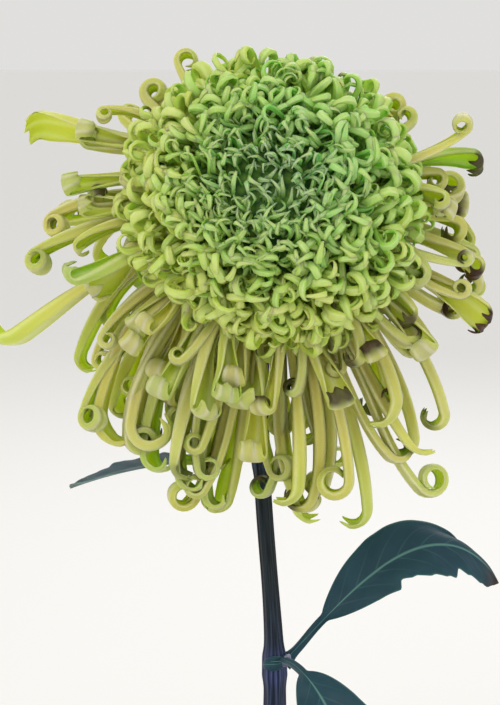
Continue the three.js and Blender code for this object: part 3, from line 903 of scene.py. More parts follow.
@dataclass
class Soil:
    """Damp potting compost, mounded a little round the stem, with bark and grit in it."""

    top: float = SOIL_TOP
    gap: float = 0.3
    mound: float = 4.0
    foot: float = 8.3
    rings: int = 46
    turns: int = 128
    crumb: float = 1.3
    bark_bits: int = 260
    grit_bits: int = 90
    seed: int = 21

    def surface(self, x: np.ndarray, y: np.ndarray) -> np.ndarray:
        """The soil's height: its top, a mound that falls off round the stem, and crumbs of two sizes."""
        radius = np.hypot(x, y)
        flat = np.stack([x, y, 0 * x], -1)
        crumbs = lumps(flat, 9, 3) * 0.6 + lumps(flat, 3.5, 4) * 0.4
        return self.top + self.mound * np.exp(-((radius / 22) ** 2)) + self.crumb * crumbs

    def build(self, pot: Pot) -> None:
        """Builds the soil's body and scatters the bits.

        Args:
            pot: the pot that holds it.
        """
        wide = pot.radius(self.top, pot.wall + self.gap)
        low = pot.radius(self.foot, pot.wall + self.gap)
        radii = np.concatenate([[1.0, low, wide], np.linspace(wide, 1.0, self.rings)[1:]])
        a = bearings(self.turns)
        x, y = radii[:, None] * np.cos(a), -radii[:, None] * np.sin(a)
        z = self.surface(x, y)
        z[:2] = self.foot
        quads, corners = grid_faces(len(radii), self.turns)
        faces = [quads, end_faces(np.arange(self.turns)[None], len(radii), self.turns)]
        compost = CompostFinish().material()
        body = mesh_piece("potting_compost", np.stack([x, y, z], -1), faces, corners, {}, compost)
        settle(body, ["potting_soil"])
        bark = CompostFinish("bark_chip_rough", "#2b1b10", "#6d4b2f", 900.0).material()
        grit = CompostFinish("grit_pale_washed", "#8d8676", "#cfc8b8", 900.0).material()
        self.scatter("bark_chips", self.bark_bits, (2.0, 7.0), (0.8, 2.2), bark, self.seed, wide)
        self.scatter("grit_grains", self.grit_bits, (0.8, 1.8), (0.8, 1.5), grit, self.seed + 1, wide)

    def scatter(
        self,
        name: str,
        count: int,
        lengths: tuple[float, float],
        widths: tuple[float, float],
        material: bpy.types.Material,
        seed: int,
        wide: float,
    ) -> None:
        """Lays short six-sided bits on the soil, each half sunk and turned its own way.

        Args:
            name: the piece's name.
            count: how many bits.
            lengths: shortest and longest.
            widths: narrowest and widest.
            material: their material.
            seed: which scatter.
            wide: the soil's radius.
        """
        rng = np.random.default_rng(seed)
        radius = wide * np.sqrt(rng.uniform(0.03, 0.92, count))
        bearing, spin = rng.uniform(0, 2 * math.pi, (2, count))
        x, y = radius * np.cos(bearing), radius * np.sin(bearing)
        centre = np.stack([x, y, self.surface(x, y) + 0.2], -1)
        heading = unit(np.stack([np.cos(spin), np.sin(spin), rng.normal(0, 0.25, count)], -1))
        face = square_to(heading, np.broadcast_to(UP, heading.shape))
        length = rng.uniform(*lengths, count)
        width = rng.uniform(*widths, count)
        s = np.linspace(-0.5, 0.5, 4)
        point = centre[:, None] + heading[:, None] * (length[:, None] * s)[..., None]
        swell = np.array([0.5, 1.0, 0.9, 0.45])
        size = (width[:, None] * swell)[..., None] * rng.uniform(0.75, 1.2, (count, 4, 6)) / 2
        frames = (np.cross(heading, face), face, heading)
        axes = (np.broadcast_to(vectors[:, None], point.shape) for vectors in frames)
        tubes = Tubes(point, *axes, section(size, 0.6 * size, bearings(6)))
        settle(tubes.piece(name, SIX_CAP, {}, material))


# ---------------------------------------------------------------- stem


@dataclass
class Stem:
    """The stem: upright, then leaning back a little and nodding forward under the bloom."""

    base_radius: float = 5.1
    neck_radius: float = 3.5
    ribs: int = 6
    rib_depth: float = 0.3
    buried: float = 38.0
    stations: int = 260
    around: int = 54
    joint_reach: float = 4.5
    joint_swell: float = 0.9
    flush_heights: tuple[float, float] = (330.0, 250.0)
    low_heights: tuple[float, float] = (260.0, 150.0)
    line_points: int = 600
    bends: tuple[tuple[float, ...], ...] = ((0, 0, 181), (-5, 8, 107), (-5.5, 20, 60), (-2.5, 28, 28))
    neck_run: float = 14.0

    def corners(self) -> np.ndarray:
        """The points that its line passes, (N, 3)."""
        neck = BLOOM.neck
        upright = [[0, 0, SOIL_TOP + rise] for rise in (-self.buried, 10, 100)]
        bends = [[x, y, neck[2] - drop] for x, y, drop in self.bends]
        return np.array([*upright, *bends, neck - BLOOM.axis * self.neck_run, neck])

    def line(self, count: int) -> np.ndarray:
        """A centripetal Catmull-Rom curve through the corners, evened out to equal steps.

        Between corners b and c, with a before and d after, each gap is the square root of the chord. The
        slopes at b and c are the differences of the chords' slopes over the gaps, times the middle gap, and
        the curve is the cubic that has them.

        Args:
            count: how many points.

        Returns:
            The points (count, 3).
        """
        p = self.corners()
        p = np.concatenate([[2 * p[0] - p[1]], p, [2 * p[-1] - p[-2]]])
        gap = np.sqrt(np.linalg.norm(np.diff(p, axis=0), axis=1))[:, None]
        a, b, c, d = p[:-3], p[1:-2], p[2:-1], p[3:]
        g, h, k = gap[:-2], gap[1:-1], gap[2:]
        at_b = ((b - a) / g - (c - a) / (g + h) + (c - b) / h) * h
        at_c = ((c - b) / h - (d - b) / (h + k) + (d - c) / k) * h
        t = np.linspace(0, 1, 80)[:, None, None]
        curve = b + at_b * t + (3 * (c - b) - 2 * at_b - at_c) * t**2 + (2 * (b - c) + at_b + at_c) * t**3
        curve = curve.transpose(1, 0, 2).reshape(-1, 3)
        travel = travelled(curve)
        return resampled(curve, travel, np.linspace(0, travel[-1], count))

    def spot(self, rise: float) -> tuple[np.ndarray, float]:
        """The point of the line this far above the soil, and the stem's radius there."""
        line = self.line(self.line_points)
        index = int(np.argmax(line[:, 2] >= SOIL_TOP + rise))
        return line[index], float(self.radius(np.array(index / (self.line_points - 1))))

    def radius(self, share: np.ndarray) -> np.ndarray:
        """Its radius at shares of its length: it thins above its topmost leaves."""
        return mixed(self.base_radius, self.neck_radius, ease(share, 0.4, 0.6))

    def build(self) -> None:
        """Sweeps the ribbed section along the line, with a swelling at each leaf joint."""
        point = self.line(self.stations)
        tangent = unit(np.gradient(point, axis=0))
        side = square_to(tangent, np.broadcast_to(BLOOM.basis[0], tangent.shape))
        face = np.cross(side, tangent)
        share = np.linspace(0, 1, self.stations)
        height = point[:, 2]
        joints = np.array([SOIL_TOP + leaf.height for leaf in LEAVES])
        near = np.exp(-(((height[:, None] - joints) / self.joint_reach) ** 2)).sum(-1)
        a = bearings(self.around)
        wave = self.rib_depth * (np.cos(self.ribs * a) + 0.35 * np.cos(2 * self.ribs * a + 1) - 1)
        radius = (self.radius(share) + self.joint_swell * np.minimum(near, 1))[:, None] + wave
        flush = np.clip(0.75 * near + ease(height, *self.flush_heights) * 0.55, 0, 1)
        low = ease(height, *self.low_heights)
        outline = section(radius, radius, a)
        tubes = Tubes(point[None], side[None], face[None], tangent[None], outline[None])
        marks = {"flush": flush[None, :, None], "low": low[None, :, None]}
        stem = tubes.piece("flower_stem", np.arange(self.around)[None], marks, StemFinish().material())
        settle(stem, ["stem"])


# ---------------------------------------------------------------- leaves


@dataclass(frozen=True)
class LeafShape:
    """One leaf: where it joins the stem, how it leaves it, and its own outline. Angles are in degrees."""

    node: str
    height: float
    bearing: float
    rise: float
    length: float
    width: float
    droop: float
    roll: float
    lobes: tuple[float, float] = (1.0, 1.0)
    dry: float = 0.0
    fold_back: float = 0.0
    lateness: float = 1.0


LEAVES = [
    LeafShape("leaf_right", 155.5, 12, 45.5, 117.5, 32, 1.9, 50, (0.1, 0.9), 1.0, 0.9, 2.75),
    LeafShape("leaf_lower_right", 161.5, -60, 14, 92, 36, 2.2, 20, (0.5, 0.7)),
    LeafShape("leaf_left", 245, 172, 2, 80, 26, 0.45, 0, (0.6, 0.6), 0.3),
    LeafShape("leaf_01", 23, 20, 30, 98, 48, 1.1, 0, dry=0.9),
    LeafShape("leaf_02", 37, 164, 28, 104, 50, 1.1, 0, dry=0.6),
    LeafShape("leaf_03", 51, 308, 25, 108, 52, 1.15, 0, dry=0.3),
    LeafShape("leaf_04", 66, 92, 22, 110, 52, 1.15, 0),
    LeafShape("leaf_05", 81, 236, 19, 112, 52, 1.25, 0),
    LeafShape("leaf_06", 95, 2, 15, 110, 52, 1.3, 0, dry=0.2),
    LeafShape("leaf_07", 107, 128, 8, 104, 50, 1.2, 0),
    LeafShape("leaf_08", 118, 200, 4, 98, 48, 1.2, 0),
]


@dataclass
class Leaves:
    """The lobed, toothed leaves, each a thin closed blade on a winged stalk."""

    thickness: float = 0.7
    stalk_width: float = 4.0
    stalk_share: float = 0.2
    fold: float = 0.22
    shear: float = 0.34
    arm_steps: int = 120
    veins: int = 7
    ripple: float = 26.0
    collar: tuple[float, float] = (196.0, 338.0)
    bud_bearing: float = -38.0
    stations: int = 96
    columns: int = 25

    def half_width(self, blade: np.ndarray, lobes: float) -> np.ndarray:
        """A wedge that swells, 2.6 b^0.8 (1-b)^0.6, stepped in after each lobe, with finer teeth.

        Args:
            blade: shares of the blade's length.
            lobes: how deep the steps and teeth are, where 1 is a full leaf's.

        Returns:
            Shares of the greatest half-width.
        """
        wedge = 2.6 * blade**0.8 * (1 - blade) ** 0.6
        lobe = np.mod((blade - 0.36) / 0.34, 1)
        lobe = np.minimum(lobe / 0.86, (1 - lobe) / 0.14)
        tooth = np.mod(blade / 0.09 + 0.2, 1)
        tooth = np.minimum(tooth / 0.7, (1 - tooth) / 0.3)
        grown = ease(blade, 0.16, 0.4)
        return wedge * (1.03 - lobes * grown * (0.36 * (1 - lobe) ** 1.4 + 0.07 * (1 - tooth)))

    def build_leaf(self, leaf: LeafShape, stem: Stem, material: bpy.types.Material) -> None:
        """Builds one leaf: a grid of shares along it and across it, each point carried by its midrib.

        Across a half, a point stands v times the half-width out and `shear` of that further along the midrib,
        so the veins and the lobes slant forward. The halves rise from the midrib by `fold`, ripple towards
        the edge, and sink a little along each vein.

        Args:
            leaf: the leaf.
            stem: the stem that it grows on.
            material: its material.
        """
        spot, around = stem.spot(leaf.height)
        bearing, rise = math.radians(leaf.bearing), math.radians(leaf.rise)
        level = math.cos(rise)
        heading = np.array([math.cos(bearing) * level, math.sin(bearing) * level, math.sin(rise)])
        paths = Growth(
            start=(spot + heading * (around / level - 1.2))[None],
            heading=heading[None],
            reference=UP[None],
            pull=-UP[None] * leaf.droop,
            reach=leaf.length + 2.6,
            roll=math.radians(leaf.roll),
            lateness=leaf.lateness,
            arm_steps=self.arm_steps,
            coil_steps=1,
        ).paths()
        s = np.linspace(0, 1, self.arm_steps + 1)
        v = np.linspace(-1, 1, self.columns)
        b = np.linspace(0, 1, self.stations)[:, None]
        blade = np.clip((b - self.stalk_share) / (1 - self.stalk_share), 0, 1)
        lobes = np.where(v[None] < 0, leaf.lobes[0], leaf.lobes[1])
        swelling = self.half_width(blade, lobes) * leaf.width / 2
        stalk = self.stalk_width / 2 * (1 + 1.1 * np.exp(-((b / 0.03) ** 2))) * (1 - ease(b, 0.9, 1))
        half = np.maximum(np.maximum(swelling, stalk), 0.25)
        reach = np.abs(v)[None]
        out = v[None] * half
        seed = sum(map(ord, leaf.node))
        slanted = self.shear * reach * half / leaf.length * ease(blade, 0.0, 0.3) * (1 - ease(b, 0.93, 1))
        at = np.clip(b + slanted, 0, 1)
        point, side, face = (resampled(a[0, : len(s)], s, at) for a in (paths.point, paths.side, paths.face))
        flat = np.stack([out, at * leaf.length, 0 * out], -1)
        veins = np.cos(2 * math.pi * self.veins * b) * np.minimum(half, 8)
        veins = veins * 0.035 * reach * (1 - reach**2) * 3
        lift = np.maximum(np.abs(out) - self.stalk_width / 2, 0) * self.fold
        lift = lift + lumps(flat, self.ripple, seed) * 1.4 * reach**2 - veins
        back = leaf.fold_back * ease(-v, 0.0, 1.0)[None] * ease(b, 0.45, 0.95)
        lift = lift - back * half * 0.95
        out = out * (1 - 0.85 * back)
        rib = 0.45 * np.exp(-((out / 1.1) ** 2)) * (1 - 0.6 * b)
        middle = point + side * out[..., None] + face * lift[..., None]
        thick = self.thickness * mixed(1.0, 0.35, reach) / 2 * (1 - 0.4 * b)
        upper = middle + face * (thick - 0.3 * rib)[..., None]
        under = middle - face * (thick + 2.2 * rib)[..., None]
        points = np.concatenate([under, upper[:, ::-1]], 1)
        columns = 2 * self.columns
        quads, corners = grid_faces(self.stations, columns)
        j = np.arange(self.columns - 1)
        cap = np.stack([j, j + 1, columns - 2 - j, columns - 1 - j], -1)
        ends = end_faces(cap, self.stations, columns)
        wide = np.concatenate([v, v[::-1]])[None] * np.ones_like(b)
        marks = {
            "across": wide,
            "along": b * np.ones_like(wide),
            "upper": np.repeat([0.0, 1.0], self.columns)[None] * np.ones_like(b),
            "dry": leaf.dry * ease(b, 0.86, 1.0) * np.ones_like(wide),
        }
        blade = mesh_piece(f"{leaf.node}_blade", points, [quads, ends], corners, marks, material)
        settle(blade, [leaf.node])

    def build_node(self, stem: Stem, material: bpy.types.Material) -> None:
        """Wraps the lower leaf's foot round the front of the stem, and sets a small bud in the leaf's axil.

        The wrap follows a circle round the stem, between two angles, and narrows to each end.

        Args:
            stem: the stem.
            material: the leaves' material.
        """
        leaf = next(leaf for leaf in LEAVES if leaf.node == "leaf_lower_right")
        spot, around = stem.spot(leaf.height - 1.5)
        share = np.linspace(0, 1, 40)
        turn = np.radians(mixed(*self.collar, share))
        out = np.stack([np.cos(turn), np.sin(turn), 0 * turn], -1)
        tangent = np.stack([-np.sin(turn), np.cos(turn), 0 * turn], -1)
        swell = np.sin(math.pi * share) ** 0.5
        climb = 2.4 * (share - 0.5) + 0.8 * np.sin(4 * share)
        point = spot + out * (around + 0.35 + 0.5 * swell)[:, None] + UP * climb[:, None]
        a = bearings(12)
        outline = section(0.35 + 2.9 * swell[:, None], 0.25 + 0.35 * swell[:, None], a)
        tubes = Tubes(point[None], np.cross(tangent, out)[None], out[None], tangent[None], outline[None])
        marks = {"across": np.cos(a), "along": np.array(0.03), "upper": np.array(1.0), "dry": np.array(0.0)}
        cap = np.array([[0, 1, 2, 3], [0, 3, 4, 11], [4, 5, 10, 11], [5, 6, 9, 10], [6, 7, 8, 9]])
        settle(tubes.piece("leaf_collar", cap, marks, material))
        profile = np.array([[0.3, -1.5], [1.5, -0.6], [2.0, 1.0], [1.8, 2.8], [1.1, 4.4], [0.3, 5.4]])
        bearing = math.radians(self.bud_bearing)
        aside = np.array([math.cos(bearing), math.sin(bearing), 0.0])
        lean = unit(UP + 0.5 * aside)
        flat = square_to(lean, aside)
        basis = np.stack([flat, np.cross(lean, flat), lean])
        finish = GreenFinish("axil_bud_flushed", body="#6a6a8c", pale="#a7a6b6").material()
        swollen = rounded(profile, [0.6, 0.7, 0.8, 0.7])
        bud = lathe_piece("axil_bud", swollen, 24, basis, spot + aside * (around + 1.2), finish)
        settle(bud)

    def build(self, stem: Stem) -> None:
        """Builds all the leaves."""
        material = LeafFinish().material()
        for leaf in LEAVES:
            self.build_leaf(leaf, stem, material)
        self.build_node(stem, material)


# ---------------------------------------------------------------- bloom

# Long petals: clock, tilt, length, droop, roll, turns, coil radius. Clock and tilt say which way a petal
# leaves the bloom, and roll turns its coil: 0 towards the bloom's axis, 90 clockwise as seen from the front.
PETALS = np.array(
    [
        # front row, clockwise from the top left
        [325, 92, 74, 0, 90, 0.8, 4.6],
        [40, 93, 66, 0.1, 90, 0.7, 4],
        [54, 94, 66, 0.15, -80, 0.7, 4],
        [67, 93, 68, 0.25, 90, 0.8, 3.6],
        [81, 94, 74, 0.35, 90, 0.7, 4.5],
        [93, 94, 84, 0.35, 60, 0.6, 3.4],
        [105, 94, 92, 0.45, 30, 0.4, 4],
        [117, 94, 108, 1.4, 90, 0.6, 5],
        [132, 90, 88, 0.9, 90, 0.3, 11],
        [145, 98, 104, 0.5, -90, 0.2, 12],
        [157, 94, 110, 0.5, 90, 0.9, 6.8],
        [170, 95, 108, 0.3, 90, 0.3, 8],
        [183, 94, 94, 0.3, 0, 0.7, 4],
        [196, 95, 96, 0.5, 80, 1.0, 4],
        [209, 94, 106, 0.9, -90, 0.25, 6],
        [222, 95, 76, 1.0, 20, 0.8, 4],
        [235, 94, 104, 1.8, -90, 0.62, 9.5],
        [248, 94, 112, 1.9, -90, 0.35, 12],
        [260, 95, 116, 0.9, 90, 0.3, 13],
        [272, 94, 100, 0.4, -80, 1.0, 4.8],
        [285, 94, 94, 0.55, -90, 1.2, 4.8],
        [298, 93, 102, 0.2, -60, 0.25, 7],
        [311, 94, 72, 0.05, 90, 1.1, 5],
        # back row, clockwise from the top right
        [30, 110, 74, 0.3, 90, 0.7, 4.5],
        [75, 108, 78, 0.3, 0, 0.8, 3.4],
        [88, 108, 84, 0.3, 60, 0.7, 4],
        [101, 108, 86, 0.4, 90, 0.8, 4],
        [115, 108, 84, 0.5, 90, 0.9, 3.6],
        [128, 108, 110, 1.3, 90, 0.35, 8],
        [154, 107, 126, 0.6, 90, 0.35, 8],
        [164, 108, 90, 0.3, 90, 0.7, 4.6],
        [177, 110, 120, 0.3, -90, 0.25, 9],
        [189, 108, 118, 0.4, 60, 0.4, 5],
        [203, 109, 102, 0.7, -70, 0.4, 6],
        [216, 108, 84, 0.9, 20, 0.8, 4],
        [229, 108, 106, 1.2, -70, 0.5, 5],
        [241, 109, 106, 1.1, -90, 0.4, 4.5],
        [266, 108, 112, 1.4, -90, 0.35, 6],
        [278, 107, 92, 0.35, 60, 0.8, 4.4],
        [304, 106, 82, 0.1, 90, 0.6, 4.5],
        # behind the crown, falling backwards
        [14, 112, 88, 1.4, 180, 0.6, 5],
        [350, 112, 96, 1.6, 180, 0.6, 5],
    ],
    float,
)
# By petal number, from 1: how broad its spoon is, and how withered its tip.
SPOONS = {12: 0.6, 15: 0.4, 19: 0.5, 22: 0.55, 34: 0.6, 37: 0.5}
WITHERED = {
    **{5: 0.9, 6: 1.0, 7: 1.0, 8: 0.7, 11: 0.35, 15: 0.5, 20: 0.3},
    **{25: 1.0, 26: 1.0, 27: 1.0, 28: 1.0, 29: 0.9, 36: 0.8},
}


@dataclass(frozen=True)
class Row:
    """A row of further petals, drawn at random between limits, in the units of PETALS.

    They roll to either side by `rolls`, or one way only. A share of them, `forward`, roll within 40 degrees
    of the bloom's axis instead.
    """

    name: str
    count: int
    clocks: tuple[float, float]
    scatter: float
    tilts: tuple[float, float]
    lengths: tuple[float, float]
    droops: tuple[float, float]
    rolls: tuple[float, float]
    turns: tuple[float, float]
    radii: tuple[float, float]
    seed: int
    withered: float
    forward: float = 0.0
    one_way: bool = False

    def table(self, rng: np.random.Generator) -> np.ndarray:
        """Draws the petals, (count, 7)."""
        count = self.count
        clock = np.linspace(*self.clocks, count) + rng.normal(0, self.scatter, count)
        curl = 1 if self.one_way else rng.choice([-1, 1], count)
        spans = (self.tilts, self.lengths, self.droops)
        tilt, length, droop = (rng.uniform(*limits, count) for limits in spans)
        ahead = np.zeros(count, bool)
        inward = 0.0
        if self.forward:
            ahead = rng.uniform(size=count) < self.forward
            inward = rng.uniform(-40, 40, count)
        roll = np.where(ahead, inward, curl * rng.uniform(*self.rolls, count))
        turns, radius = (rng.uniform(*limits, count) for limits in (self.turns, self.radii))
        return np.stack([clock, tilt, length, droop, roll, turns, radius], -1)


ROWS = (
    Row(
        *("quills_front_short", 36, (62, 318), 3, (76, 92), (66, 84), (0.1, 0.7)),
        *((60, 100), (0.45, 0.95), (2.6, 4.2), 2, 0.12),
        forward=0.5,
    ),
    Row(
        *("quills_back_hanging", 28, (70, 300), 3, (98, 122), (70, 98), (0.3, 1.4)),
        *((50, 120), (0.5, 1.2), (3.6, 6), 3, 0.1),
    ),
    Row(
        *("quills_long_hanging", 17, (146, 232), 2, (96, 106), (102, 127), (0.5, 1.2)),
        *((60, 110), (0.4, 1.15), (4.2, 7), 5, 0.15),
    ),
    Row(
        *("quills_upper_back", 18, (-58, 62), 2, (94, 118), (56, 74), (0.2, 0.8)),
        *((120, 240), (0.5, 0.9), (4, 5.5), 4, 0.05),
        one_way=True,
    ),
)


@dataclass
class Quills:
    """Long petals: thin-walled tubes, open along a slit that widens into a small toothed spoon at the tip."""

    width: float = 6.5
    thickness: float = 4.0
    wall: float = 0.45
    coil_pitch: float = 2.2
    arc_points: int = 15
    arm_steps: int = 20
    coil_steps: int = 24
    tired_clock: float = 125.0
    tired_reach: float = 50.0
    tired_share: float = 0.65
    seed: int = 5

    def grow(self, table: np.ndarray, lead: float, rng: np.random.Generator) -> Paths:
        """The paths of a table of petals, each swaying a little and leaning into its coil by `lead`."""
        clock, tilt, length, droop, roll, turns, radius = table.T
        heading = BLOOM.direction(clock, tilt)
        growth = Growth(
            start=np.array(BLOOM.centre) + heading * (BLOOM.receptacle_radius - 1.5),
            heading=heading,
            reference=np.broadcast_to(BLOOM.axis, heading.shape),
            pull=-UP * droop[:, None],
            reach=length - BLOOM.receptacle_radius + 2.1,
            roll=np.radians(roll),
            turns=turns,
            radius=radius,
            pitch=self.coil_pitch,
            sway=rng.normal(0, 2.2, len(table)),
            lateness=1.2,
            lead=lead,
            arm_steps=self.arm_steps,
            coil_steps=self.coil_steps,
        )
        return growth.paths()

    def outline(
        self,
        share: np.ndarray,
        spoon: np.ndarray,
        size: np.ndarray,
        wider: np.ndarray,
        rng: np.random.Generator,
    ) -> np.ndarray:
        """The C-shaped section: an outer arc and an inner one a wall inside it.

        The arc spans half-angle a and has radius (girth / 2a), so that it flattens as its slit opens, and its
        back stays on the path. Towards the tip the girth shrinks, less so for a spoon, and three teeth stand
        out.

        Args:
            share: (M, K) of the length.
            spoon: (M,), 0 for a plain tip and 1 for a broad spoon.
            size: (M,) of the usual width.
            wider: (M,), how much of the widening towards the coil a petal has.
            rng: for small differences.

        Returns:
            The outline (M, K, S, 3).
        """
        spoon, size = spoon[:, None], size[:, None]
        phase = rng.uniform(0, 2 * math.pi, (len(share), 1))
        width = self.width * size * mixed(0.55, 1.0, ease(share, 0, 0.35))
        width = width * (1 + 0.07 * np.sin(9 * share + phase))
        width = width * (1 + 0.2 * ease(share, 0.5, 0.8) * wider[:, None])
        opening = ease(share, 0.5, 1.0)
        half = mixed(math.pi - 0.09, mixed(1.75, 1.0, spoon), opening)
        girth = math.pi * width * (1 - (0.34 - 0.34 * spoon) * ease(share, 0.88, 1.0))
        arc = girth / (2 * half)
        flat = mixed(self.thickness / self.width, mixed(0.5, 0.8, spoon), opening)
        phi = np.linspace(-1, 1, self.arc_points) * half[..., None]
        crease = 1 - 0.14 * np.cos(3.3 * phi) * (1 - 0.6 * opening)[..., None]
        scallop = np.cos(3 * math.pi * phi / half[..., None]) * ease(share, 0.93, 1.0)[..., None]
        tooth = 0.3 * width[..., None] * scallop
        back = ((arc - width / 2) * flat)[..., None]
        rings = []
        for inset in (0.0, self.wall):
            radius = (arc[..., None] - inset) * crease
            down = back - radius * np.cos(phi) * flat[..., None]
            rings.append(np.stack([radius * np.sin(phi), down, tooth], -1))
        return np.concatenate([rings[0], rings[1][:, :, ::-1]], 2)

    def cap(self) -> np.ndarray:
        """The quads between the outer and the inner arc that fill a section."""
        j = np.arange(self.arc_points - 1)
        return np.stack([j, j + 1, 2 * self.arc_points - 2 - j, 2 * self.arc_points - 1 - j], -1)

    def marks(
        self, share: np.ndarray, wither: np.ndarray, tint: np.ndarray, rng: np.random.Generator
    ) -> dict[str, np.ndarray]:
        """The attributes of quills: greener towards the tip, and brown at the very tip of a withered one."""
        return {
            "tint": (tint[:, None] - 0.09 * ease(share, 0.62, 1.0))[..., None],
            "along": share[..., None],
            "wither": (wither[:, None] * ease(share, 0.91, 0.96))[..., None],
            "fleck": rng.uniform(0, 1, len(share))[:, None, None],
        }

    def build_named(self, material: bpy.types.Material) -> None:
        """Builds each CAD petal as its own piece."""
        rng = np.random.default_rng(self.seed)
        count = len(PETALS)
        numbers = range(1, count + 1)
        spoon = np.array([SPOONS.get(n, 0.0) for n in numbers])
        wither = np.array([WITHERED.get(n, 0.0) for n in numbers])
        paths = self.grow(PETALS, 0.22, rng)
        wider = 1.4 * (1 - ease(PETALS[:, 5], 0.4, 0.9)) - 0.4
        outline = self.outline(paths.share, spoon, rng.normal(1.06, 0.1, count), wider, rng)
        marks = self.marks(paths.share, wither, rng.normal(0.97, 0.04, count), rng)
        for n in numbers:
            one = slice(n - 1, n)
            arrays = (paths.point, paths.side, paths.face, paths.tangent, outline)
            tubes = Tubes(*(values[one] for values in arrays))
            mine = {mark: values[one] for mark, values in marks.items()}
            quill = tubes.piece(f"quill_{n:02d}", self.cap(), mine, material)
            settle(quill, [f"petal_{n:02d}"])

    def build_row(self, row: Row, table: np.ndarray, material: bpy.types.Material) -> None:
        """Builds a row of further petals as one piece."""
        rng = np.random.default_rng(self.seed + row.seed)
        count = len(table)
        clock, turns = table[:, 0], table[:, 5]
        paths = self.grow(table, 0.5, rng)
        tired = np.where(np.abs(clock - self.tired_clock) < self.tired_reach, self.tired_share, row.withered)
        wither = np.where(rng.uniform(size=count) < tired, rng.uniform(0.88, 1, count), 0)
        spoon = np.where((rng.uniform(size=count) < 0.4) & (turns < 0.55), rng.uniform(0.2, 0.8, count), 0.0)
        wider = 1.6 * (1 - ease(turns, 0.4, 0.8)) - 0.6
        outline = self.outline(paths.share, spoon, rng.normal(0.96, 0.12, count), wider, rng)
        marks = self.marks(paths.share, wither, rng.normal(0.94, 0.05, count), rng)
        settle(paths.tubes(outline).piece(row.name, self.cap(), marks, material))

    def build(self, material: bpy.types.Material) -> None:
        """Builds the named petals, and then the shorter and the hidden ones between them."""
        self.build_named(material)
        rng = np.random.default_rng(self.seed + 1)
        for row in ROWS:
            self.build_row(row, row.table(rng), material)


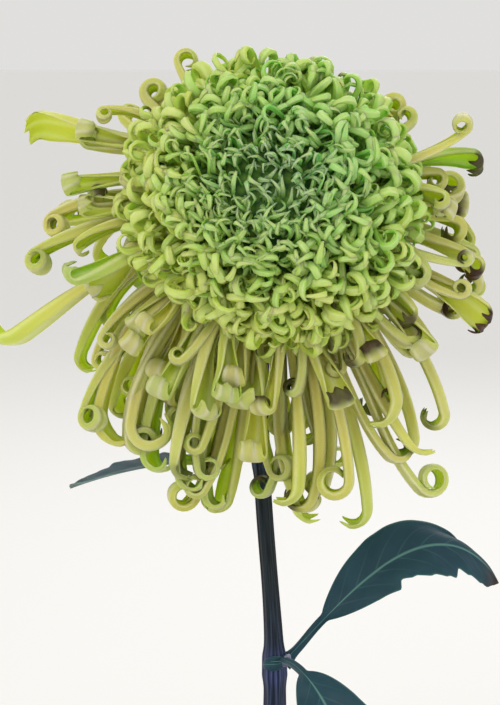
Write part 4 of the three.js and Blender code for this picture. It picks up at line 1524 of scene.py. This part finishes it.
@dataclass
class Crown:
    """The mass of short hooked florets over the receptacle, set out in a sunflower's spiral on a dome."""

    radius: float = 58.5
    height: float = 50.0
    underside: float = 5.0
    hollow: float = 10.0
    hollow_width: float = 14.0
    narrowing: float = 0.13
    narrow_bearing: float = 215.0
    inner_spacing: float = 4.2
    outer_spacing: float = 6.1
    core_share: float = 0.76
    limit: float = 97.0
    young_to: float = 38.0
    rim_from: float = 68.0
    under_limit: float = 95.0
    under_from: float = 0.3  # radians
    under_spacing: float = 1.12
    under_sink: float = 4.5
    heart: tuple[float, float] = (9.0, 8.0)
    heart_reach: float = 66.0
    arm_steps: int = 2
    coil_steps: int = 8
    seed: int = 11

    def dome(self, angle: np.ndarray, bearing: np.ndarray) -> np.ndarray:
        """Points of the dome in the bloom's own frame: radius sin a out and height cos a up, less the hollow.

        On one half the radius narrows by n c^2, where c is the cosine of the angle to the narrowest side.

        Args:
            angle: from the axis.
            bearing: round it.

        Returns:
            The points (..., 3).
        """
        toward = np.maximum(np.cos(bearing - math.radians(self.narrow_bearing)), 0)
        out = self.radius * np.sin(angle) * (1 - self.narrowing * toward**2)
        up = self.underside + (self.height - self.underside) * np.cos(angle)
        up = up - self.hollow * np.exp(-((out / self.hollow_width) ** 2))
        return np.stack([out * np.sin(bearing), out * np.cos(bearing), up], -1)

    def angles(self, limit: float, looseness: float) -> np.ndarray:
        """The florets' angles from the axis, spaced closely in the middle and widely at the rim.

        The number of florets up to angle a is the integral of the dome's area over a floret's own area there.

        Args:
            limit: the greatest angle.
            looseness: times the usual spacing.

        Returns:
            The angles, one for each floret.
        """
        a = np.linspace(0, limit, 500)
        spacing = looseness * mixed(self.inner_spacing, self.outer_spacing, ease(a, 0.1, 1.5))
        across = self.radius * np.sin(a)
        slant = np.hypot(self.radius * np.cos(a), (self.height - self.underside) * np.sin(a))
        held = np.cumsum(2 * math.pi * across * slant / (0.866 * spacing**2)) * (a[1] - a[0])
        return np.interp(np.arange(0.5, held[-1]), held, a)

    def florets(
        self,
        name: str,
        chosen: np.ndarray,
        order: np.ndarray,
        material: bpy.types.Material,
        sink: float = 0.0,
        nodes: list[str] | None = None,
    ) -> None:
        """Builds the florets at these angles as one piece.

        A floret starts some way under the dome, grows to it while it leans aside, and rolls over in a coil:
        downwards, or flat on the dome. In the middle it is a thin sickle that tapers to a split tip, and
        towards the rim a broad band.

        Args:
            name: the piece's name.
            chosen: angles from the axis.
            order: each floret's number in the spiral.
            material: its material.
            sink: how far under the dome the florets end, in mm; florets that are sunk also take more of the
                foot colour, as painted shade.
            nodes: CAD nodes that the piece stands for.
        """
        rng = np.random.default_rng(self.seed + len(chosen))
        count = len(chosen)
        golden = math.pi * (3 - math.sqrt(5))
        outward = ease(chosen, 0.15, 1.45)
        angle = chosen + rng.normal(0, 0.03, count)
        bearing = order * golden + rng.normal(0, 0.05, count) / np.maximum(np.sin(chosen), 0.2)
        tip = self.dome(angle, bearing)
        up = unit(tip - np.array([0.0, 0.0, 8.0]))
        tip = tip - up * (sink + rng.normal(0, 1.2, count))[:, None]
        depth = mixed(13.0, 19.0, outward)
        inward = -tip * np.array([1.0, 1.0, 0.0]) / np.maximum(np.hypot(tip[:, 0], tip[:, 1]), 9.0)[:, None]
        aside = square_to(up, inward * 0.8 + rng.normal(0, 0.7, (count, 3)))
        leaning = mixed(0.9, 1.9, ease(outward, 0.05, 0.4)) * (1 - 0.6 * ease(outward, 0.8, 1.0))
        strength = rng.uniform(0.3, 1.0, count) * leaning
        width = mixed(1.7, 3.3, ease(outward, 0.0, 0.75)) + 1.4 * ease(outward, 0.7, 1.0)
        width = width * rng.uniform(0.75, 1.2, count)
        wide = rng.uniform(size=count) < 0.25
        radius = mixed(3.1, 4.2, ease(outward, 0.0, 0.8)) * rng.uniform(0.75, 1.15, count)
        radius = radius * np.where(wide, 1.3, 1.0)
        turns = rng.uniform(0.5, 1.1, count) * mixed(0.55, 1.0, ease(outward, 0.0, 0.5))
        turns = turns * np.where(wide, 0.85, 1.0)
        reach = depth * 1.08 - 0.35 * radius + rng.normal(0, 1.6, count)
        flat_on = rng.uniform(size=count) < mixed(0.4, 0.72, ease(outward, 0.1, 0.4))
        strength = strength * np.where(flat_on, 1.3, 1.0)
        roll = rng.normal(0, 0.7, count) + np.where(flat_on, rng.choice([-1, 1], count) * math.pi / 2, 0)
        basis = BLOOM.basis
        paths = Growth(
            start=(tip - up * depth[:, None]) @ basis + np.array(BLOOM.centre),
            heading=unit(up + rng.normal(0, 0.12, (count, 3))) @ basis,
            reference=-up @ basis,
            pull=(aside * strength[:, None]) @ basis,
            reach=reach,
            roll=roll,
            turns=turns,
            radius=radius,
            pitch=width * rng.normal(0.3, 0.4, count),
            sway=rng.normal(0, 0.5, count),
            tightening=0.5,
            arm_steps=self.arm_steps,
            coil_steps=self.coil_steps,
        ).paths()
        share = paths.share
        a = bearings(6)
        middle = (1 - outward)[:, None]
        sickle = 0.2 * ease(share, 0.35, 0.6) - 0.85 * ease(share, 0.6, 1.0)
        taper = 1 + middle * sickle - 0.74 * (1 - middle) * ease(share, 0.64, 1)
        half = width[:, None] / 2 * mixed(0.6, 1.0, ease(share, 0, 0.5)) * taper
        thin = half * mixed(0.8, mixed(0.3, 0.5, 1 - middle), ease(share, 0.3, 0.9))
        lobe = (np.cos(a) ** 2 - 0.4) * (half * 4.6 * ease(share, 0.8, 1.0) * middle**0.6)[..., None]
        groove = 1 - 0.15 * np.sin(a) ** 4
        outline = section(half[..., None], thin[..., None] * groove, a, lobe)
        away = np.linalg.norm(tip[:, :2] - np.array(self.heart), axis=1) + rng.normal(0, 3.0, count)
        dry = np.where(rng.uniform(size=count) < 0.02 * outward, 0.9, 0)[:, None] * ease(share, 0.8, 0.95)
        marks = {
            "tint": np.clip(away / self.heart_reach, 0, 0.86)[:, None, None],
            # The florets beneath take more of the foot colour: painted shade under the florets above them.
            "along": (share * (0.62 if sink else 1.0))[..., None],
            "wither": dry[..., None],
            "fleck": rng.uniform(0, 1, count)[:, None, None],
        }
        settle(paths.tubes(outline).piece(name, SIX_CAP, marks, material), nodes)

    def build(self, material: bpy.types.Material) -> None:
        """Builds the middle's young florets, those round them, the rim's, those beneath, and their core."""
        angles = self.angles(math.radians(self.limit), 1.0)
        order = np.arange(len(angles), dtype=float)
        young, old = angles < math.radians(self.young_to), angles >= math.radians(self.rim_from)
        grown = ~young & ~old
        self.florets("florets_young", angles[young], order[young], material, nodes=["crown_florets"])
        self.florets("florets_grown", angles[grown], order[grown], material)
        self.florets("florets_rim", angles[old], order[old], material)
        under = self.angles(math.radians(self.under_limit), self.under_spacing)
        sunk = under > self.under_from
        between = (np.arange(len(under)) + 0.5)[sunk]
        self.florets("florets_under", under[sunk], between, material, self.under_sink)
        LOG.info("crown: %d florets over %d", len(angles), int(sunk.sum()))
        a = np.linspace(0, math.pi, 40)
        rise = np.where(a < math.pi / 2, -3 * np.cos(a), -self.height * self.core_share * 0.9 * np.cos(a))
        core = np.stack([np.sin(a) * self.radius * self.core_share, self.underside + rise], -1)
        core[[0, -1], 0] = 0.5
        shaded = CoreFinish().material()
        bed = lathe_piece("floret_bed", core, 72, BLOOM.basis, np.array(BLOOM.centre), shaded)
        settle(bed)


@dataclass
class Receptacle:
    """The swollen end of the stem, with three rows of small overlapping bracts on its underside."""

    rows: int = 3
    in_a_row: int = 15
    bract_length: float = 11.0
    bract_width: float = 4.6
    seed: int = 31

    def build(self) -> None:
        """Turns the receptacle and lays the bracts over it."""
        material = GreenFinish().material()
        radius, depth, top = BLOOM.receptacle_radius, BLOOM.receptacle_depth, BLOOM.receptacle_top
        under = [[0.4, -depth], [radius * 0.35, -depth], [radius * 0.8, -depth * 0.62]]
        over = [[radius, 0.0], [radius * 0.78, top * 0.72], [0.4, top]]
        profile = rounded(np.array(under + over), [1.5, 4.0, 4.0, 4.0])
        body = lathe_piece("receptacle_body", profile, 64, BLOOM.basis, np.array(BLOOM.centre), material)
        settle(body, ["receptacle"])
        rng = np.random.default_rng(self.seed)
        row = np.repeat(np.arange(self.rows), self.in_a_row)
        count = len(row)
        place = np.tile(np.arange(self.in_a_row), self.rows) + row * 0.5
        clock = place * 360 / self.in_a_row + rng.normal(0, 3, count)
        outward = BLOOM.direction(clock, np.full(count, 90.0))
        heading = BLOOM.direction(clock, 68.0 + 6.0 * row)
        below = BLOOM.axis * (depth + 1.0 - 1.7 * row)[:, None]
        paths = Growth(
            start=np.array(BLOOM.centre) + outward * (3.0 + 2.6 * row)[:, None] - below,
            heading=heading,
            reference=np.broadcast_to(BLOOM.axis, heading.shape),
            pull=np.zeros((count, 3)),
            reach=rng.uniform(0.5, 0.6, count) * self.bract_length,
            roll=rng.normal(0, 0.1, count),
            turns=0.11,
            radius=8.0,
            tightening=0.0,
            arm_steps=5,
            coil_steps=6,
        ).paths()
        share = paths.share
        half = self.bract_width / 2 * np.sqrt(np.clip(1 - (share * 1.35 - 0.35) ** 2, 0.01, 1))
        thin = 0.45 * (1 - 0.5 * share)
        outline = section(half[..., None], thin[..., None], bearings(8))
        cap = np.array([[0, 1, 2, 3], [0, 3, 4, 7], [4, 5, 6, 7]])
        settle(paths.tubes(outline).piece("bract_scales", cap, {}, material), ["bract_cup"])


# ---------------------------------------------------------------- studio


@dataclass
class Studio:
    """A pale floor that runs to the horizon, a pale surround, soft lights, and the camera."""

    floor_side: float = 400.0  # metres
    eye: tuple[float, float, float] = (-0.0102, -0.65441, 0.53522)
    down: float = 10.0
    lens: float = 82.98
    surround: str = "#f2f1ef"
    surround_strength: float = 0.84
    aim: tuple[float, float, float] = (0.0, 0.0, 0.4)

    def light(
        self, name: str, place: tuple[float, float, float], size: float, power: float, colour: str
    ) -> None:
        """Adds a square area light that looks at the plant.

        Args:
            name: its name.
            place: in metres.
            size: its side in metres.
            power: in watts.
            colour: its colour.
        """
        data = bpy.data.lights.new(name, "AREA")
        data.size, data.energy, data.color = size, power, linear(colour)[:3]
        lamp = bpy.data.objects.new(name, data)
        lamp.location = place
        to_plant = np.array(self.aim) - np.array(place)
        turn = math.atan2(-to_plant[0], to_plant[1])
        tip = math.atan2(math.hypot(to_plant[0], to_plant[1]), -to_plant[2])
        lamp.rotation_euler = Euler((tip, 0.0, turn))
        bpy.context.scene.collection.objects.link(lamp)

    def build(self) -> None:
        """Lays the floor, lights the plant and sets the camera."""
        h = self.floor_side / 2 / MM
        points = np.array([[-h, -h, 0], [h, -h, 0], [h, h, 0], [-h, h, 0]], float)
        square = np.array([[0, 1, 2, 3]])
        floor = mesh_piece("floor", points, [square], np.zeros((1, 4, 2)), {}, PaperFinish().material())
        world = bpy.data.worlds.new("surround")
        world.use_nodes = True
        background = world.node_tree.nodes["Background"]
        background.inputs[0].default_value = linear(self.surround)
        background.inputs[1].default_value = self.surround_strength
        bpy.context.scene.world = world
        bpy.context.scene.view_settings.view_transform = "Standard"
        self.light("key", (-0.6, -1.1, 1.7), 1.1, 9, "#fffaf0")
        self.light("fill", (1.3, -1.0, 0.8), 1.2, 3, "#eef4ff")
        self.light("back", (0.3, 1.5, 1.4), 1.0, 6, "#ffffff")
        data = bpy.data.cameras.new("camera")
        data.lens, data.sensor_width = self.lens, 36.0
        camera = bpy.data.objects.new("camera", data)
        camera.location = self.eye
        camera.rotation_euler = Euler((math.radians(90 - self.down), 0.0, 0.0))
        bpy.context.scene.collection.objects.link(camera)
        bpy.context.scene.camera = camera


def main() -> None:
    """Builds the plant in order."""
    logging.basicConfig(level=logging.INFO, format="%(message)s")
    Studio().build()
    pot = Pot()
    pot.build()
    Soil().build(pot)
    stem = Stem()
    stem.build()
    Leaves().build(stem)
    Receptacle().build()
    Quills().build(PetalFinish("ray_floret_quilled", foot_painted_shade_reach=0.45).material())
    rolled = PetalFinish("ray_floret_rolled", ribs=4, rib_strength=0.16, painted_highlight_side=-1.0, foot_painted_shade_reach=0.6)
    Crown().build(rolled.material())


if __name__ == "__main__":
    main()
